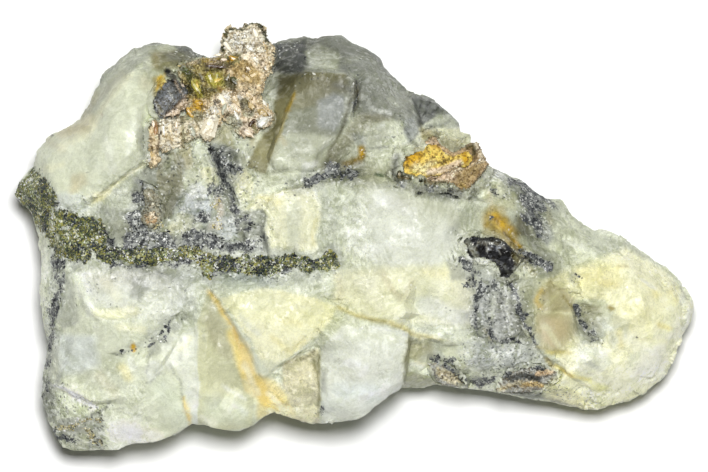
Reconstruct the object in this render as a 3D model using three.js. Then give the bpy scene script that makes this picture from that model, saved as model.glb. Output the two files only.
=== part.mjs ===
// Native silver on calcite: a broken hand specimen of milky calcite with a dark sulphide vein,
// crusts and curled leaves of silver, and lumps of black sulphide.
//
// Millimetres, +Z up. The specimen lies on its flat back: X runs along its length, +Y towards
// the edge with the tall silver leaf, and the origin is in the middle of the back.
//
// Every piece is a slab of broken mineral: an outline, a net of points inside it that carries
// the relief, and a back. Steps, pockets and facets get points on both sides of their edges,
// so that they stay sharp.

import * as THREE from "three";

// ---------- driving dimensions ----------

const FACE_SPACING = 1.06; // between the points of the calcite's broken face
const METAL_SPACING = 0.85; // between the points of the silver and sulphide pieces
const BACK_SPACING = 5; // between the points of a flat back
const RIM_STEP = 1.25; // longest piece of the calcite's rim
const EDGE_STEP = 1.0; // longest piece of the edge of a step, a pocket or a small piece
const STEP_WIDTH = 0.4; // how wide the steep face of a step is
const STEP_TOP = 0.04; // the points above a step stand this far back from its line
const FACET_EDGE = 0.05; // the points of a facet's edge stand this far inside it
const POCKET_EDGE = 0.02; // the points of a pocket's edge stand this far inside it
const SEAT_GAP = 0.3; // between a piece and the floor of its pocket in the calcite
const POCKET_MARGIN = 0.45; // how much wider a pocket's floor is than the piece in it
const LEAST_THICKNESS = 0.7; // of a silver or sulphide piece
const CENTRE = { x: -0.5, y: -1.6 }; // the whole rim is seen from here

// The sides, from the rim down: how far each ring lies inside the rim, its height as a share of
// the rim's, how much both vary from facet to facet, and how many rim points go to one of its own.
const SIDE_RINGS = [
  { inset: 0.6, height: 0.68, vary: 0.6, every: 1 },
  { inset: 2.3, height: 0.34, vary: 1.4, every: 2 },
  { inset: 4.4, height: 0.1, vary: 1.7, every: 3 },
];
const BACK_INSET = 7.5; // the flat of the back starts this far inside the rim

// The broken relief over the calcite's face: the size of its planes, how far they rise and fall,
// and a number that sets their pattern. It fades out towards the rim.
const RELIEF = [
  { size: 3.4, rise: 0.5, pattern: 11 },
  { size: 1.7, rise: 0.28, pattern: 23 },
];
const RELIEF_FADE = 1.5;

// ---------- the calcite's rim: x, y and height of each corner, clockwise ----------

const RIM = [
  // left tip and the round shoulder above it
  [-42.5, 5.4, 10], [-41.5, 7.4, 10.5], [-40.3, 8.8, 10.5], [-39.8, 10.8, 11], [-38.1, 12.7, 11.5],
  [-36, 13.8, 12], [-34.3, 14.8, 12.5], [-33.1, 16.9, 12.5], [-32, 19.2, 12], [-31.4, 20.7, 11.5],
  [-29.6, 22.1, 11.5], [-27.6, 23.6, 11.5], [-25.5, 24.3, 12], [-24.4, 24.4, 12], [-22.8, 23.9, 12],
  // behind the silver
  [-20.8, 23.9, 11.5], [-19.3, 22.9, 11.5], [-17.5, 22.2, 11.5], [-13.6, 21.9, 11.5],
  [-11.1, 22.6, 11.5],
  // top and the long slope down to the right tip
  [-10.2, 24.2, 11], [-8.4, 24.8, 11], [-6.4, 25.3, 11], [-5.1, 24.8, 11], [-3.4, 25.3, 11],
  [-1.6, 25.3, 11], [-0.1, 24.3, 11], [1.6, 23.6, 11], [3.3, 22.3, 11], [3.8, 21.3, 11],
  [5.4, 19.7, 11], [6.8, 18.3, 10.2], [8.6, 17.9, 9.4], [10.4, 17.1, 9.4], [11.9, 15.7, 9.8],
  [13.1, 14.4, 10.4], [13.3, 13.3, 11], [14.6, 12.9, 11], [14.6, 11.9, 11.5], [15.2, 10.3, 11.8],
  [16.6, 9.2, 12], [18.6, 8.1, 12], [20.8, 7.2, 12], [23.9, 4.9, 11.5], [25.8, 4.7, 11],
  [27.4, 2.8, 10.5], [30, 0.9, 10], [32, 0.7, 10], [33.8, -0.2, 10], [35.8, -1.7, 9.5],
  [38.6, -3.4, 9], [40.6, -5.2, 8.5], [41.8, -6.9, 8], [42.5, -8.8, 7.5],
  // right tip and the lower edge back to the left
  [42.1, -10.9, 7.5], [40.8, -13.2, 8], [40, -15.2, 8.5], [38.8, -17.4, 8.5], [36.8, -19.2, 8.5],
  [34.8, -20.4, 9], [32.9, -20.8, 9], [30.5, -21.7, 9], [28.8, -21.4, 9], [25.4, -20.8, 9.5],
  [22.6, -20.3, 10], [19.1, -19.6, 10.5], [15.8, -19.1, 11], [13.3, -18.9, 11], [10.3, -18.4, 11],
  [9.3, -18.8, 11], [6.0, -18.9, 12], [5.4, -19.2, 16], [4.4, -19.8, 17], [2.6, -21.3, 16.8],
  [0.8, -22.6, 16.4], [-1.1, -23.1, 16.2], [-4, -23.3, 15.6], [-6.1, -23.1, 14.6],
  [-8.4, -22.4, 14.8], [-9.9, -21.8, 15], [-11.3, -22.3, 14.6], [-13, -23.7, 14],
  [-14.6, -24.2, 13.8], [-17, -23.9, 14.2], [-18.6, -23.4, 14.8], [-20.3, -23.2, 15],
  [-22.5, -24.7, 14.2], [-24.9, -25.6, 13.8], [-27.4, -25.7, 13.4], [-29.3, -26.4, 12.8],
  [-32.4, -26.6, 11], [-34.9, -26.7, 10],
  // lower left corner and the steep left side
  [-36.6, -26.3, 10], [-37.6, -24.3, 10], [-38.9, -20.9, 10.5], [-39.1, -18.8, 11],
  [-38.4, -14.3, 12], [-38.3, -13.1, 12], [-38.8, -10.9, 12], [-39.3, -6.6, 11.5],
  [-39.1, -3.1, 11.5], [-39.5, 0, 11], [-40.1, 2.4, 11], [-40.5, 3.2, 11], [-42, 4.6, 10],
];

// ---------- the calcite's broken face: x, y and height of its corners and hollows ----------

const FACE = [
  // round shoulder on the left: its lip, its top and the ridge that ends it
  [-40.6, 6.4, 12.6], [-38.6, 9.5, 15], [-37, 11.3, 16.2], [-34.8, 12.4, 17.2], [-32.4, 15.2, 18],
  [-30.4, 17.7, 18.5], [-28.6, 19.8, 18.5], [-26.2, 21.6, 17.8], [-23.5, 21.9, 16.6],
  [-20.6, 21.8, 15.6], [-36, 7, 18], [-33, 9.5, 20], [-30, 13, 21], [-27.5, 17, 20.4],
  [-26, 14, 21], [-28.5, 10.5, 21.6], [-25.7, 10.2, 21.2], [-29.2, 7.7, 20.8], [-32.2, 5.4, 19.8],
  [-33.8, 4.4, 19.2], [-35.8, 5, 18.4], [-37.4, 6, 16.8],
  // grey ground below the ridge and around the vein
  [-25.2, 7.6, 19], [-28, 5.4, 18.7], [-30.6, 3.2, 18.3], [-33, 2.6, 17.9], [-35.6, 3, 17.4],
  [-41.2, 5.2, 11.6], [-39, 4, 14.2], [-38.4, 1, 14.2], [-36.5, 0, 16.6], [-33, 0.5, 17.2],
  [-31, -1, 17.4], [-28, 1, 17.4], [-27, 4, 17.8], [-24, 7, 18.2], [-22, 9.5, 18.8],
  [-21, 6, 18.9], [-20, 10.5, 18.6], [-18, 8.5, 18.8], [-17.6, 5, 18.6], [-20, 3, 19.1],
  [-24, 2, 17.8], [-21, 0, 18], [-17, 1, 18.6], [-16.2, 9.6, 16.8], [-15.3, 8.3, 16.6],
  [-15.1, 11, 17.4], [-13.8, 5.2, 18.9], [-15.5, 3, 18.4], [-13.4, 2, 19.2], [-11.5, 0.5, 19.4],
  [-11, 3.5, 20.2], [-26, -2.2, 17.9], [-20, -2.6, 18.2], [-14, -3.3, 18.6], [-8, -3.3, 19.2],
  [-3.2, -2.6, 19.8],
  // left side: a low strip along the rim, then the dark band
  [-38.5, -2, 13.6], [-38.6, -7, 13.6], [-38.1, -11, 13.4], [-36.9, -4, 16], [-37.1, -7, 15.6],
  [-37.3, -11, 15], [-37.5, -15, 14.8], [-38.1, -18, 13.2],
  // lower left: white block, smooth ground and the dropped corner
  [-34.6, -4, 18.2], [-31, -4.2, 18.9], [-26, -4.4, 18.9], [-21, -4.8, 19], [-33.4, -8.4, 18.6],
  [-31.6, -9.8, 18.8], [-29.5, -10.2, 18.9], [-26, -8, 19.3], [-22, -8.5, 19.2], [-35, -12, 17],
  [-33, -15, 17.4], [-30, -13, 18.2], [-30, -17, 17.8], [-36, -16.5, 16.2], [-37.6, -18.1, 15],
  [-35, -19, 16.2], [-32.6, -20.2, 16.8], [-30.8, -20, 17.2], [-36.4, -21.4, 13.4],
  [-34, -22.4, 14.2], [-37.6, -22, 11.8], [-35, -24.8, 11.8], [-32, -24.6, 13], [-30, -22, 16.4],
  [-28, -24.4, 15.2], [-27, -18, 18], [-26.5, -21.5, 17.2], [-25.6, -24, 15.4],
  // bright blades left of the ridge, and the beige hollow right of it
  [-22.6, -12.2, 19.2], [-24.6, -13.6, 18.4], [-22.4, -15.8, 19.4], [-21, -19, 18.4],
  [-20.6, -21.4, 17.2], [-25.6, -17, 18.2], [-24, -20, 17.2], [-23, -22.6, 16.2],
  [-19.6, -10.8, 19.7], [-19.6, -15, 19.7], [-19.5, -19, 18.8], [-19.4, -22, 17],
  [-18.4, -7, 19.2], [-17, -12, 18.8], [-16, -16, 18], [-16, -20, 16.8], [-18, -20, 17.4],
  [-15, -22.4, 15.8], [-13.2, -19.6, 16.8], [-11.2, -20.6, 16.6],
  // cream facets left of the middle
  [-16.2, -7.4, 20], [-14.4, -10.4, 20.2], [-12.3, -13.6, 20.2], [-10.6, -16, 19.7],
  [-8.2, -14.5, 20.2], [-5.4, -12.8, 20.6], [-3.4, -10.4, 21], [-2, -8.4, 21.1], [-8, -7.4, 20.5],
  [-12, -6.4, 19.9], [-10, -10.5, 21], [-8.4, -16.4, 19.6], [-5, -16.2, 19.4], [-5.2, -19, 18.6],
  [-8, -19, 18], [-6, -21.6, 16.4], [-9.4, -20.6, 16.6], [-10, 5, 20.6], [-10.2, -1, 20],
  [-4.6, -1, 20.6], [-4.4, 4, 21.2], [-5.6, 6.2, 21], [-7.5, 2, 20.9], [-3.4, 3, 20.3],
  [-2, 6, 20.3], [-0.6, 0, 20.9], [-0.8, 4.6, 20.7],
  // block at the lower edge, and the low ledge beside it
  [-3.4, -13.8, 20.8], [-3.6, -17, 20], [-3.4, -20.5, 18.8], [-1.4, -11.4, 21.5],
  [3.4, -11.6, 21.9], [6.3, -12.6, 21.6], [5.8, -15.5, 20.8], [5.2, -18, 19.4], [1, -16, 21],
  [0, -20.3, 19.2], [3.2, -19.2, 19.2], [7.4, -13, 20.2], [7.2, -16, 18.6], [7.2, -18, 15.4],
  [10, -14.6, 18.6], [10.5, -17, 15.8],
  // white middle
  [0, -6, 21.6], [4, -6, 22.5], [9, -7, 22.1], [12.6, -9, 21], [1, -1, 21.8], [5, 2, 22.6],
  [9, 0, 22.5], [2, 5, 21.9], [4, 4.6, 22.2], [12, 3.5, 21.1], [13, 0.6, 20.7], [12.6, -4, 21.3],
  [12, -12.6, 20.2], [7.6, -11, 21.9],
  // pit under the curled leaf, and the slope above it
  [5.2, 6, 21.6], [9, 5.5, 21.4], [12.8, 4.4, 21], [15.4, 5.4, 19.4], [-3, 8, 20.2],
  [0, 7.8, 20.6], [1.2, 10, 20.4], [3, 9, 20.9], [4.6, 10.5, 20.2], [2.6, 13, 19.5],
  [5.4, 13.6, 18.8], [7.2, 12.6, 18], [1.2, 15.6, 18.4], [4, 17, 17], [6.2, 15.8, 16.4],
  [1.2, 19, 17], [3, 20.4, 15], [0.8, 22, 14.8], [-1.5, 21.6, 15.8], [-1, 23.6, 13.6],
  [-4, 21.5, 16.4], [-4.5, 23.4, 14.2], [-7.5, 21.6, 16], [-8.3, 23.2, 14], [-9.6, 21.2, 15.6],
  // wall left of the window facet, down to the silver
  [-9.4, 19.6, 16.4], [-10.2, 15, 17.8], [-12, 12, 18.4], [-13.2, 9.2, 19], [-11.2, 7.6, 19.8],
  [-14.2, 12.2, 17.8], [-11.4, 18.6, 16.2],
  // low blocks at the upper right rim
  [10, 14.7, 12.8], [12.3, 14.7, 12.2], [9.4, 13.4, 15], [11.6, 12.8, 14.6], [13.4, 12.4, 13.6],
  [13.8, 11.4, 13.6],
  // ground around the black lump
  [16.6, 7.9, 15], [18.6, 6.6, 16], [16.6, 6.2, 17.6], [14.6, 3.6, 19.8], [17.4, 3.4, 18.4],
  [20, 4.6, 16.4], [20.6, 6, 14.8], [22.2, 4.8, 14.2], [21.6, 2.4, 16], [19.8, 1.6, 17.7],
  [22.6, 0.8, 16], [24.6, 2.2, 14.4], [16.6, 1.6, 18.9], [21.6, -1, 17.5], [24.4, -1, 16],
  [22, -3.4, 17.7], [24.6, -4.2, 16.6], [21, -7, 17.8], [20.8, -11, 17.4], [19.4, -6, 17.8],
  [17.6, -6.6, 18.9], [15, -5.8, 20], [15.4, -9.4, 19.8], [17.8, -9.4, 18.6], [18.6, -12.4, 17.8],
  [15, -12.8, 19.1], [12.6, -15, 17.8], [15.6, -15.6, 17], [19.4, -14.6, 16.8],
  [22.2, -15.4, 16.2], [16.6, -17.6, 14], [20.6, -17.6, 13.8], [12, -17.4, 14.6],
  [23.4, -18.2, 13.4],
  // sugary right lobe with its hollow
  [27.4, 0.2, 14], [30, -1.2, 13.6], [33, -2.2, 13], [27.8, -4.2, 16], [31, -4, 15.6],
  [35, -4.6, 14.4], [38.4, -6.4, 12.6], [40.4, -8.6, 11.2], [40.3, -11.4, 11.2], [38, -10, 13.6],
  [36, -8, 14.9], [34, -11, 15.2], [37.6, -14.4, 12.4], [34.4, -15, 14.6], [35.6, -17.6, 11.8],
  [31.6, -13.4, 15.5], [31.4, -17.4, 13.8], [28.4, -15.6, 16], [29.4, -19.4, 12.4],
  [25.8, -17.2, 15.6], [25.6, -19.2, 12.8], [32.4, -9, 14.7], [30.6, -7.6, 14.9],
  [28.4, -8, 14.7], [28, -10.5, 13.9], [30, -12.4, 13.9], [27.2, -13.4, 15.8],
  [27, -9.4, 15.9], [25, -8.6, 16.8], [24, -6.4, 17], [23, -10, 17], [22.8, -13, 16.9],
  [24.4, -14.6, 16.7],
];

// ---------- steps: the ground on the right of each line drops, and rises again over its run ----------

const STEPS = [
  { drop: 1.7, run: 3, line: [[-35.4, 4], [-33.6, 4.1], [-31.2, 5.9], [-28.6, 7.9], [-25.5, 9.9]] },
  { drop: 1.2, run: 2.6, line: [[-29, -10.3], [-31, -10.2], [-32.6, -9.5], [-33.7, -8],
    [-34.3, -6.2], [-35.4, -4.6]] },
  { drop: 1.0, run: 3, line: [[-19.2, -22.4], [-19.4, -18], [-19.5, -14], [-19.5, -10.8]].reverse() },
  { drop: 1.0, run: 1.8, line: [[-17.6, -6.8], [-15.2, -10.2], [-13.2, -13.6], [-11.6, -16.8],
    [-10.4, -19.4]] },
  { drop: 1.7, run: 4, line: [[-4.4, -13.4], [-5.6, -13.5], [-8.1, -15], [-10.5, -16.6]].reverse() },
  { drop: 1.5, run: 3, line: [[-4.1, -14], [-4.3, -17.5], [-4.2, -22.6]] },
  { drop: 4.2, run: 7, line: [[6.8, -12.1], [6.6, -14], [6.2, -16.5], [6, -18.6]].reverse() },
  { drop: 0.9, run: 3, line: [[-1.8, -8.5], [0, -9.7], [2.5, -10.3], [5, -11], [7.5, -11.9],
    [12, -13.3]] },
  { drop: 2.6, run: 3.4, line: [[15.8, 4.6], [12.8, 4.8], [10.5, 5.4], [8.4, 5.9], [5, 6.2]] },
  { drop: 3.2, run: 2.6, line: [[8.6, 12.4], [8, 14.2], [7.6, 16], [6.7, 18]] },
  { drop: 1.1, run: 2.2, line: [[30.4, -13.2], [28.6, -12.3], [27.5, -10.7], [27.1, -9]] },
  { drop: 0.9, run: 2.6, line: [[21.3, -12], [24.5, -15], [27, -17], [29, -18.5]] },
  { drop: 1.2, run: 3, line: [[-30.4, -20.3], [-32.6, -20.5], [-35, -19.3], [-38, -18.2]].reverse() },
  { drop: 0.7, run: 2, line: [[-21.4, -12], [-23.6, -15.8], [-25.6, -17.8]] },
  { drop: 0.8, run: 2.4, line: [[-10.4, -2], [-11.2, 1], [-10.8, 4.4], [-9, 5.8], [-5.4, 6.4],
    [-4, 4.6], [-4.3, 1.5], [-3.8, -1.4]].reverse() },
];

// ---------- cracks: V-shaped grooves ----------

const CRACKS = [
  { depth: 1.4, width: 0.7, line: [[-17.5, 10.6], [-16.4, 7.6], [-15.3, 5]] },
  { depth: 0.8, width: 0.6, line: [[-22.4, -10.2], [-25.6, -13.2], [-29.4, -14.8]] },
  { depth: 0.9, width: 0.6, line: [[0.4, 19.6], [0.3, 16.2]] },
  { depth: 0.7, width: 0.6, line: [[-6.4, 7.5], [-3, 7.4], [0.3, 8]] },
];

// ---------- smooth ground: x, y and radius of patches with a quarter of the roughness ----------

const SMOOTH_PATCHES = [
  [-31, 12, 10], [-36, 8, 5], [-33, -14, 6], [-27, -20, 6], [-21, -17, 5], [-16.5, -16, 4],
  [-10, -10, 6], [1, -16, 7], [5, 0, 9], [9, -6, 6], [-7.5, 2, 4], [25, -11, 4], [-30, -7, 4],
];
const SMOOTH_SHARE = 0.25;

// ---------- flat cleavage facets: height at a point of the facet, and its slopes ----------

const FACETS = [
  // the long window facet in the middle
  { at: [-6, 9.5, 20.8], slopeX: 0.06, slopeY: -0.24, outline: [[-6.9, 20.6], [-1.2, 20.6],
    [0, 19.5], [0, 16], [-1, 14], [-2.5, 12.5], [-4.5, 10.5], [-5, 8.5], [-9.8, 8.5],
    [-10.5, 10], [-9.6, 12.5], [-8.6, 15], [-7.6, 17.5]] },
  // the dark shelf at the upper right rim
  { at: [9, 16, 11.6], slopeX: -0.12, slopeY: -0.4, outline: [[7.3, 17.7], [9.6, 17.1],
    [11.4, 15.9], [10.3, 15.2], [8.5, 14.4], [8.1, 16]] },
];

// ---------- silver and sulphide pieces ----------
// floor: a point of its pocket's floor, with the floor's slopes. top: the same for its upper
// face. lumps: how far it rises and falls, and over what distance.
// lifts: hummocks and rolled edges, each a point, its radius and how far it rises.

const TOP_POCKET = { at: [-16.4, 22.5, 14.5], slopeX: 0, slopeY: -0.26 };

const PIECES = [
  {
    name: "silver_mass",
    color: 0xc9ad8b, roughness: 0.42, metalness: 0.9,
    outline: [
      [-16.4, 22.5], [-16.4, 23.8], [-16.1, 24.9], [-15.5, 25.8], [-14.9, 26], [-14.1, 25.7],
      [-13.6, 26], [-13.1, 26.5], [-12.5, 26.7], [-11.8, 26.4], [-11.3, 25.8], [-11.1, 25],
      [-10.8, 24.3], [-10.3, 23.6], [-10.4, 22.2], [-10.7, 20.7], [-11.5, 19.4], [-12, 17.6],
      [-11.3, 16.2], [-10.4, 15.3], [-10.6, 14.2], [-11.6, 13.8], [-12.8, 12.9], [-14.2, 12.8],
      [-15, 14.3], [-16.4, 14.9], [-17.2, 13.6], [-18.2, 12], [-19, 12.8], [-20.2, 12.3],
      [-21.6, 11.4], [-23.4, 11.2], [-24.4, 11], [-24.7, 9.2], [-25.3, 9.2], [-25.4, 11],
      [-25.5, 13.6], [-24.9, 14.4], [-22, 14.5], [-20.5, 15.2], [-20.5, 17], [-20.6, 18.6],
      [-21.6, 20.2], [-21.4, 21.3], [-19.4, 21.8], [-18, 22.1],
    ],
    floor: TOP_POCKET,
    top: { at: [-16.4, 22.5, 17.9], slopeX: 0, slopeY: -0.17 },
    lumps: { rise: 0.9, size: 2.2 },
    lifts: [[-12.4, 25.6, 2.2, 0.8], [-15.2, 24.8, 2, 0.6], [-13.4, 19.6, 2.4, 1.2],
      [-18.4, 20.4, 2, 0.8], [-11.2, 14.8, 1.2, 0.9], [-18, 14.2, 1.6, 0.9],
      [-15.6, 16.4, 2, 0.7], [-25, 12, 1, 0.6]],
    hangingPast: { y: 21.4, rise: 0.55 },
  },
  {
    name: "silver_leaf",
    color: 0xb08f7d, roughness: 0.45, metalness: 0.85,
    outline: [
      [5.3, 7.5], [5.6, 8.6], [5.9, 10], [6.8, 10.6], [8.4, 11], [8.8, 12], [10, 12.3],
      [10.7, 11.4], [12.3, 10.4], [13.4, 10.8], [14.3, 11.4], [15.2, 11.7], [15.6, 10.9],
      [15.9, 10], [16.6, 9.2], [15.7, 7.9], [15, 7], [14.3, 6.2], [13.3, 6.1], [12.4, 6.9],
      [11, 6.9], [9.6, 6.7], [8, 7], [6.5, 7.2],
    ],
    floor: { at: [5.3, 7.5, 15.4], slopeX: -0.08, slopeY: -0.12 },
    top: { at: [5.3, 7.5, 17.2], slopeX: -0.06, slopeY: -0.1 },
    lumps: { rise: 0.25, size: 1.6 },
    lifts: [[14.4, 7.4, 2, 2.2], [16, 8.8, 1.8, 2.2], [12.4, 7, 1.6, 1.6], [10, 6.9, 1.4, 1.2],
      [15.2, 11.2, 1.4, 1.8], [9.6, 12.2, 1.4, 1.4], [6, 8, 1.2, 1], [12.6, 10.4, 0.9, 0.7]],
  },
  {
    name: "ochre_crust",
    color: 0xe0b53c, roughness: 0.85, metalness: 0,
    outline: [
      [6.3, 8.2], [6.3, 9.6], [7.1, 10.2], [8.7, 10.4], [9.3, 11.2], [10.2, 11.2], [11, 10.3],
      [12.3, 9.8], [13.5, 10.1], [14.2, 10.5], [14.5, 9.8], [13.8, 9.1], [12.4, 8.8],
      [11, 8.3], [9.6, 7.9], [7.8, 7.8],
    ],
    seatedOn: "silver_leaf",
    top: { at: [6.3, 8.2, 18.5], slopeX: -0.04, slopeY: -0.1 },
    lumps: { rise: 0.5, size: 1.3 },
    lifts: [[7, 9.6, 1.2, 0.5], [10, 9.4, 1.6, 0.6], [8.4, 8.8, 1, 0.4]],
  },
  {
    name: "sulphide_knob",
    color: 0x5d6068, roughness: 0.4, metalness: 0.6,
    outline: [
      [-24.9, 16.9], [-24.3, 18], [-23.6, 19], [-22.7, 19.7], [-21.9, 19.2], [-21, 17.9],
      [-21.1, 16.4], [-22, 15.2], [-23.6, 15.1], [-24.6, 15.4],
    ],
    floor: TOP_POCKET,
    top: { at: [-24.9, 16.9, 19], slopeX: 0.1, slopeY: -0.1 },
    lumps: { rise: 0.6, size: 1.5 },
    lifts: [[-22.6, 17.6, 1.8, 1.2]],
  },
  {
    name: "sulphide_lump",
    color: 0x2c2d33, roughness: 0.3, metalness: 0.6,
    outline: [
      [13.7, -0.4], [14.8, 0], [16, -0.2], [17.5, -0.1], [18.6, -0.6], [19.6, -1.6],
      [20.3, -2.5], [21, -2.6], [20.5, -3.3], [19.8, -4], [19.3, -5], [18.5, -4.7],
      [18.2, -3.5], [17, -2.6], [15.5, -2.4], [14.5, -2.3], [14.2, -1.2],
    ],
    floor: { at: [13.7, -0.4, 17.4], slopeX: -0.2, slopeY: 0.1 },
    top: { at: [13.7, -0.4, 20.3], slopeX: -0.18, slopeY: 0.2 },
    lumps: { rise: 0.4, size: 1.2 },
    lifts: [[15.9, -1.2, 1, 0.6], [17.9, -1.4, 1.1, 0.8]],
  },
  {
    name: "silver_seam_left",
    color: 0xb58b6c, roughness: 0.5, metalness: 0.8,
    outline: [
      [9.8, -16], [11, -16.2], [12.3, -16.9], [13.4, -17.7], [13.9, -18.3], [12.4, -18.2],
      [10.9, -17.7], [10.2, -16.8],
    ],
    floor: { at: [9.9, -16.1, 13.6], slopeX: -0.35, slopeY: 0.75 },
    top: { at: [9.9, -16.1, 15.8], slopeX: -0.35, slopeY: 0.75 },
    lumps: { rise: 0.25, size: 1 },
    lifts: [],
  },
  {
    name: "silver_seam_right",
    color: 0xb58b6c, roughness: 0.5, metalness: 0.8,
    outline: [
      [18.2, -18.9], [19, -18], [19.6, -16.9], [21, -16.4], [22.8, -16.5], [25.2, -16.9],
      [25, -17.6], [23.6, -18], [23.1, -18.7], [21.4, -18.9], [20, -18.8],
    ],
    floor: { at: [18.2, -18.9, 11.7], slopeX: -0.06, slopeY: 0.8 },
    top: { at: [18.2, -18.9, 13.5], slopeX: -0.06, slopeY: 0.85 },
    lumps: { rise: 0.3, size: 1 },
    lifts: [[21, -18.3, 1.5, 0.4]],
  },
  {
    name: "silver_grains",
    color: 0xcf9a78, roughness: 0.5, metalness: 0.8,
    outline: [
      [-26.1, 2.1], [-26, 3], [-25.6, 3.6], [-25.7, 4.8], [-25.9, 5.6], [-25, 5.6],
      [-24.5, 4.8], [-24.8, 3.8], [-24.3, 3], [-24.3, 2.1], [-25.2, 1.5],
    ],
    floor: { at: [-26.1, 2.1, 16.7], slopeX: 0, slopeY: 0.05 },
    top: { at: [-26.1, 2.1, 18.9], slopeX: 0, slopeY: 0.05 },
    lumps: { rise: 0.4, size: 0.8 },
    lifts: [],
  },
];

// ---------- small tools ----------

// A repeatable random number from 0 to 1 for a pair of whole numbers and a seed.
function hash(i, j, seed) {
  const mixed = Math.sin(i * 127.1 + j * 311.7 + seed * 74.7) * 43758.5453;
  return mixed - Math.floor(mixed);
}

// Random numbers in a row, from a seed.
function randomSource(seed) {
  let count = 0;
  return () => {
    count += 1;
    return hash(count, count % 17, seed);
  };
}

// Broken ground: every cell of a jittered grid is a small tilted plane. From about -1 to 1.
function brokenPlanes(x, y, size, seed) {
  const column = Math.floor(x / size);
  const row = Math.floor(y / size);
  let nearest = Infinity;
  let value = 0;
  for (let i = column - 1; i <= column + 1; i++) {
    for (let j = row - 1; j <= row + 1; j++) {
      const dx = x / size - i - hash(i, j, seed);
      const dy = y / size - j - hash(i, j, seed + 1);
      const distance = dx * dx + dy * dy;
      if (distance < nearest) {
        nearest = distance;
        const tiltX = hash(i, j, seed + 2) - 0.5;
        const tiltY = hash(i, j, seed + 3) - 0.5;
        value = (hash(i, j, seed + 4) - 0.5) + 1.4 * (tiltX * dx + tiltY * dy);
      }
    }
  }
  return value;
}

function isInside(outline, x, y) {
  let inside = false;
  for (let i = 0, j = outline.length - 1; i < outline.length; j = i++) {
    const [xi, yi] = outline[i];
    const [xj, yj] = outline[j];
    if (yi > y !== yj > y && x < ((xj - xi) * (y - yi)) / (yj - yi) + xi) {
      inside = !inside;
    }
  }
  return inside;
}

// The nearest place on a line: its distance, and whether the point lies on the line's right.
function nearestOnLine(line, x, y, closed = false) {
  let best = { distance: Infinity, right: false };
  const count = closed ? line.length : line.length - 1;
  for (let i = 0; i < count; i++) {
    const [ax, ay] = line[i];
    const [bx, by] = line[(i + 1) % line.length];
    const lengthSquared = (bx - ax) ** 2 + (by - ay) ** 2;
    const along = ((x - ax) * (bx - ax) + (y - ay) * (by - ay)) / lengthSquared;
    const t = Math.min(1, Math.max(0, along));
    const distance = Math.hypot(x - ax - t * (bx - ax), y - ay - t * (by - ay));
    if (distance < best.distance) {
      const side = (bx - ax) * (y - ay) - (by - ay) * (x - ax);
      best = { distance, right: side < 0, atEnd: !closed && (along < 0 || along > 1) };
    }
  }
  return best;
}

// Points along a line, no further apart than step. Extra numbers, such as heights, go along.
function divided(line, step, closed) {
  const points = [];
  const count = closed ? line.length : line.length - 1;
  for (let i = 0; i < count; i++) {
    const a = line[i];
    const b = line[(i + 1) % line.length];
    const pieces = Math.ceil(Math.hypot(b[0] - a[0], b[1] - a[1]) / step);
    for (let k = 0; k < pieces; k++) {
      points.push(a.map((value, axis) => value + ((b[axis] - value) * k) / pieces));
    }
  }
  if (!closed) {
    points.push([...line[line.length - 1]]);
  }
  return points;
}

// The line moved sideways: to its right for a positive distance.
function moved(line, distance, closed = false) {
  return line.map((point, i) => {
    const before = line[closed ? (i + line.length - 1) % line.length : Math.max(0, i - 1)];
    const after = line[closed ? (i + 1) % line.length : Math.min(line.length - 1, i + 1)];
    const dx = after[0] - before[0];
    const dy = after[1] - before[1];
    const length = Math.hypot(dx, dy);
    return [point[0] + (dy / length) * distance, point[1] - (dx / length) * distance];
  });
}

// ---------- triangulation ----------

function circleAround(a, b, c) {
  const bx = b[0] - a[0];
  const by = b[1] - a[1];
  const cx = c[0] - a[0];
  const cy = c[1] - a[1];
  const d = 2 * (bx * cy - by * cx);
  const b2 = bx * bx + by * by;
  const c2 = cx * cx + cy * cy;
  const x = (cy * b2 - by * c2) / d;
  const y = (bx * c2 - cx * b2) / d;
  return { x: a[0] + x, y: a[1] + y, r2: x * x + y * y };
}

// Delaunay triangles over the points, by adding them one at a time. Each face turns left.
function delaunay(points) {
  const far = 1e4;
  const all = [...points, [-far, -far], [far, -far], [0, far]];
  const n = points.length;
  let faces = [{ corners: [n, n + 1, n + 2], circle: circleAround(all[n], all[n + 1], all[n + 2]) }];
  for (let p = 0; p < n; p++) {
    const [x, y] = all[p];
    const edges = new Map();
    const kept = [];
    for (const face of faces) {
      const { circle, corners } = face;
      if ((x - circle.x) ** 2 + (y - circle.y) ** 2 >= circle.r2) {
        kept.push(face);
        continue;
      }
      for (let k = 0; k < 3; k++) {
        const a = corners[k];
        const b = corners[(k + 1) % 3];
        if (!edges.delete(`${b},${a}`)) {
          edges.set(`${a},${b}`, [a, b]);
        }
      }
    }
    for (const [a, b] of edges.values()) {
      kept.push({ corners: [a, b, p], circle: circleAround(all[a], all[b], all[p]) });
    }
    faces = kept;
  }
  return faces.map((face) => face.corners).filter((corners) => corners.every((c) => c < n));
}

// Triangles over an outline and the points inside it. The outline's points come first.
function triangulated(outline, inner) {
  const points = [...outline, ...inner].map(([x, y]) => [x, y]);
  const faces = delaunay(points).filter(([a, b, c]) => {
    const x = (points[a][0] + points[b][0] + points[c][0]) / 3;
    const y = (points[a][1] + points[b][1] + points[c][1]) / 3;
    return isInside(outline, x, y);
  });
  return { points, faces };
}

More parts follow.
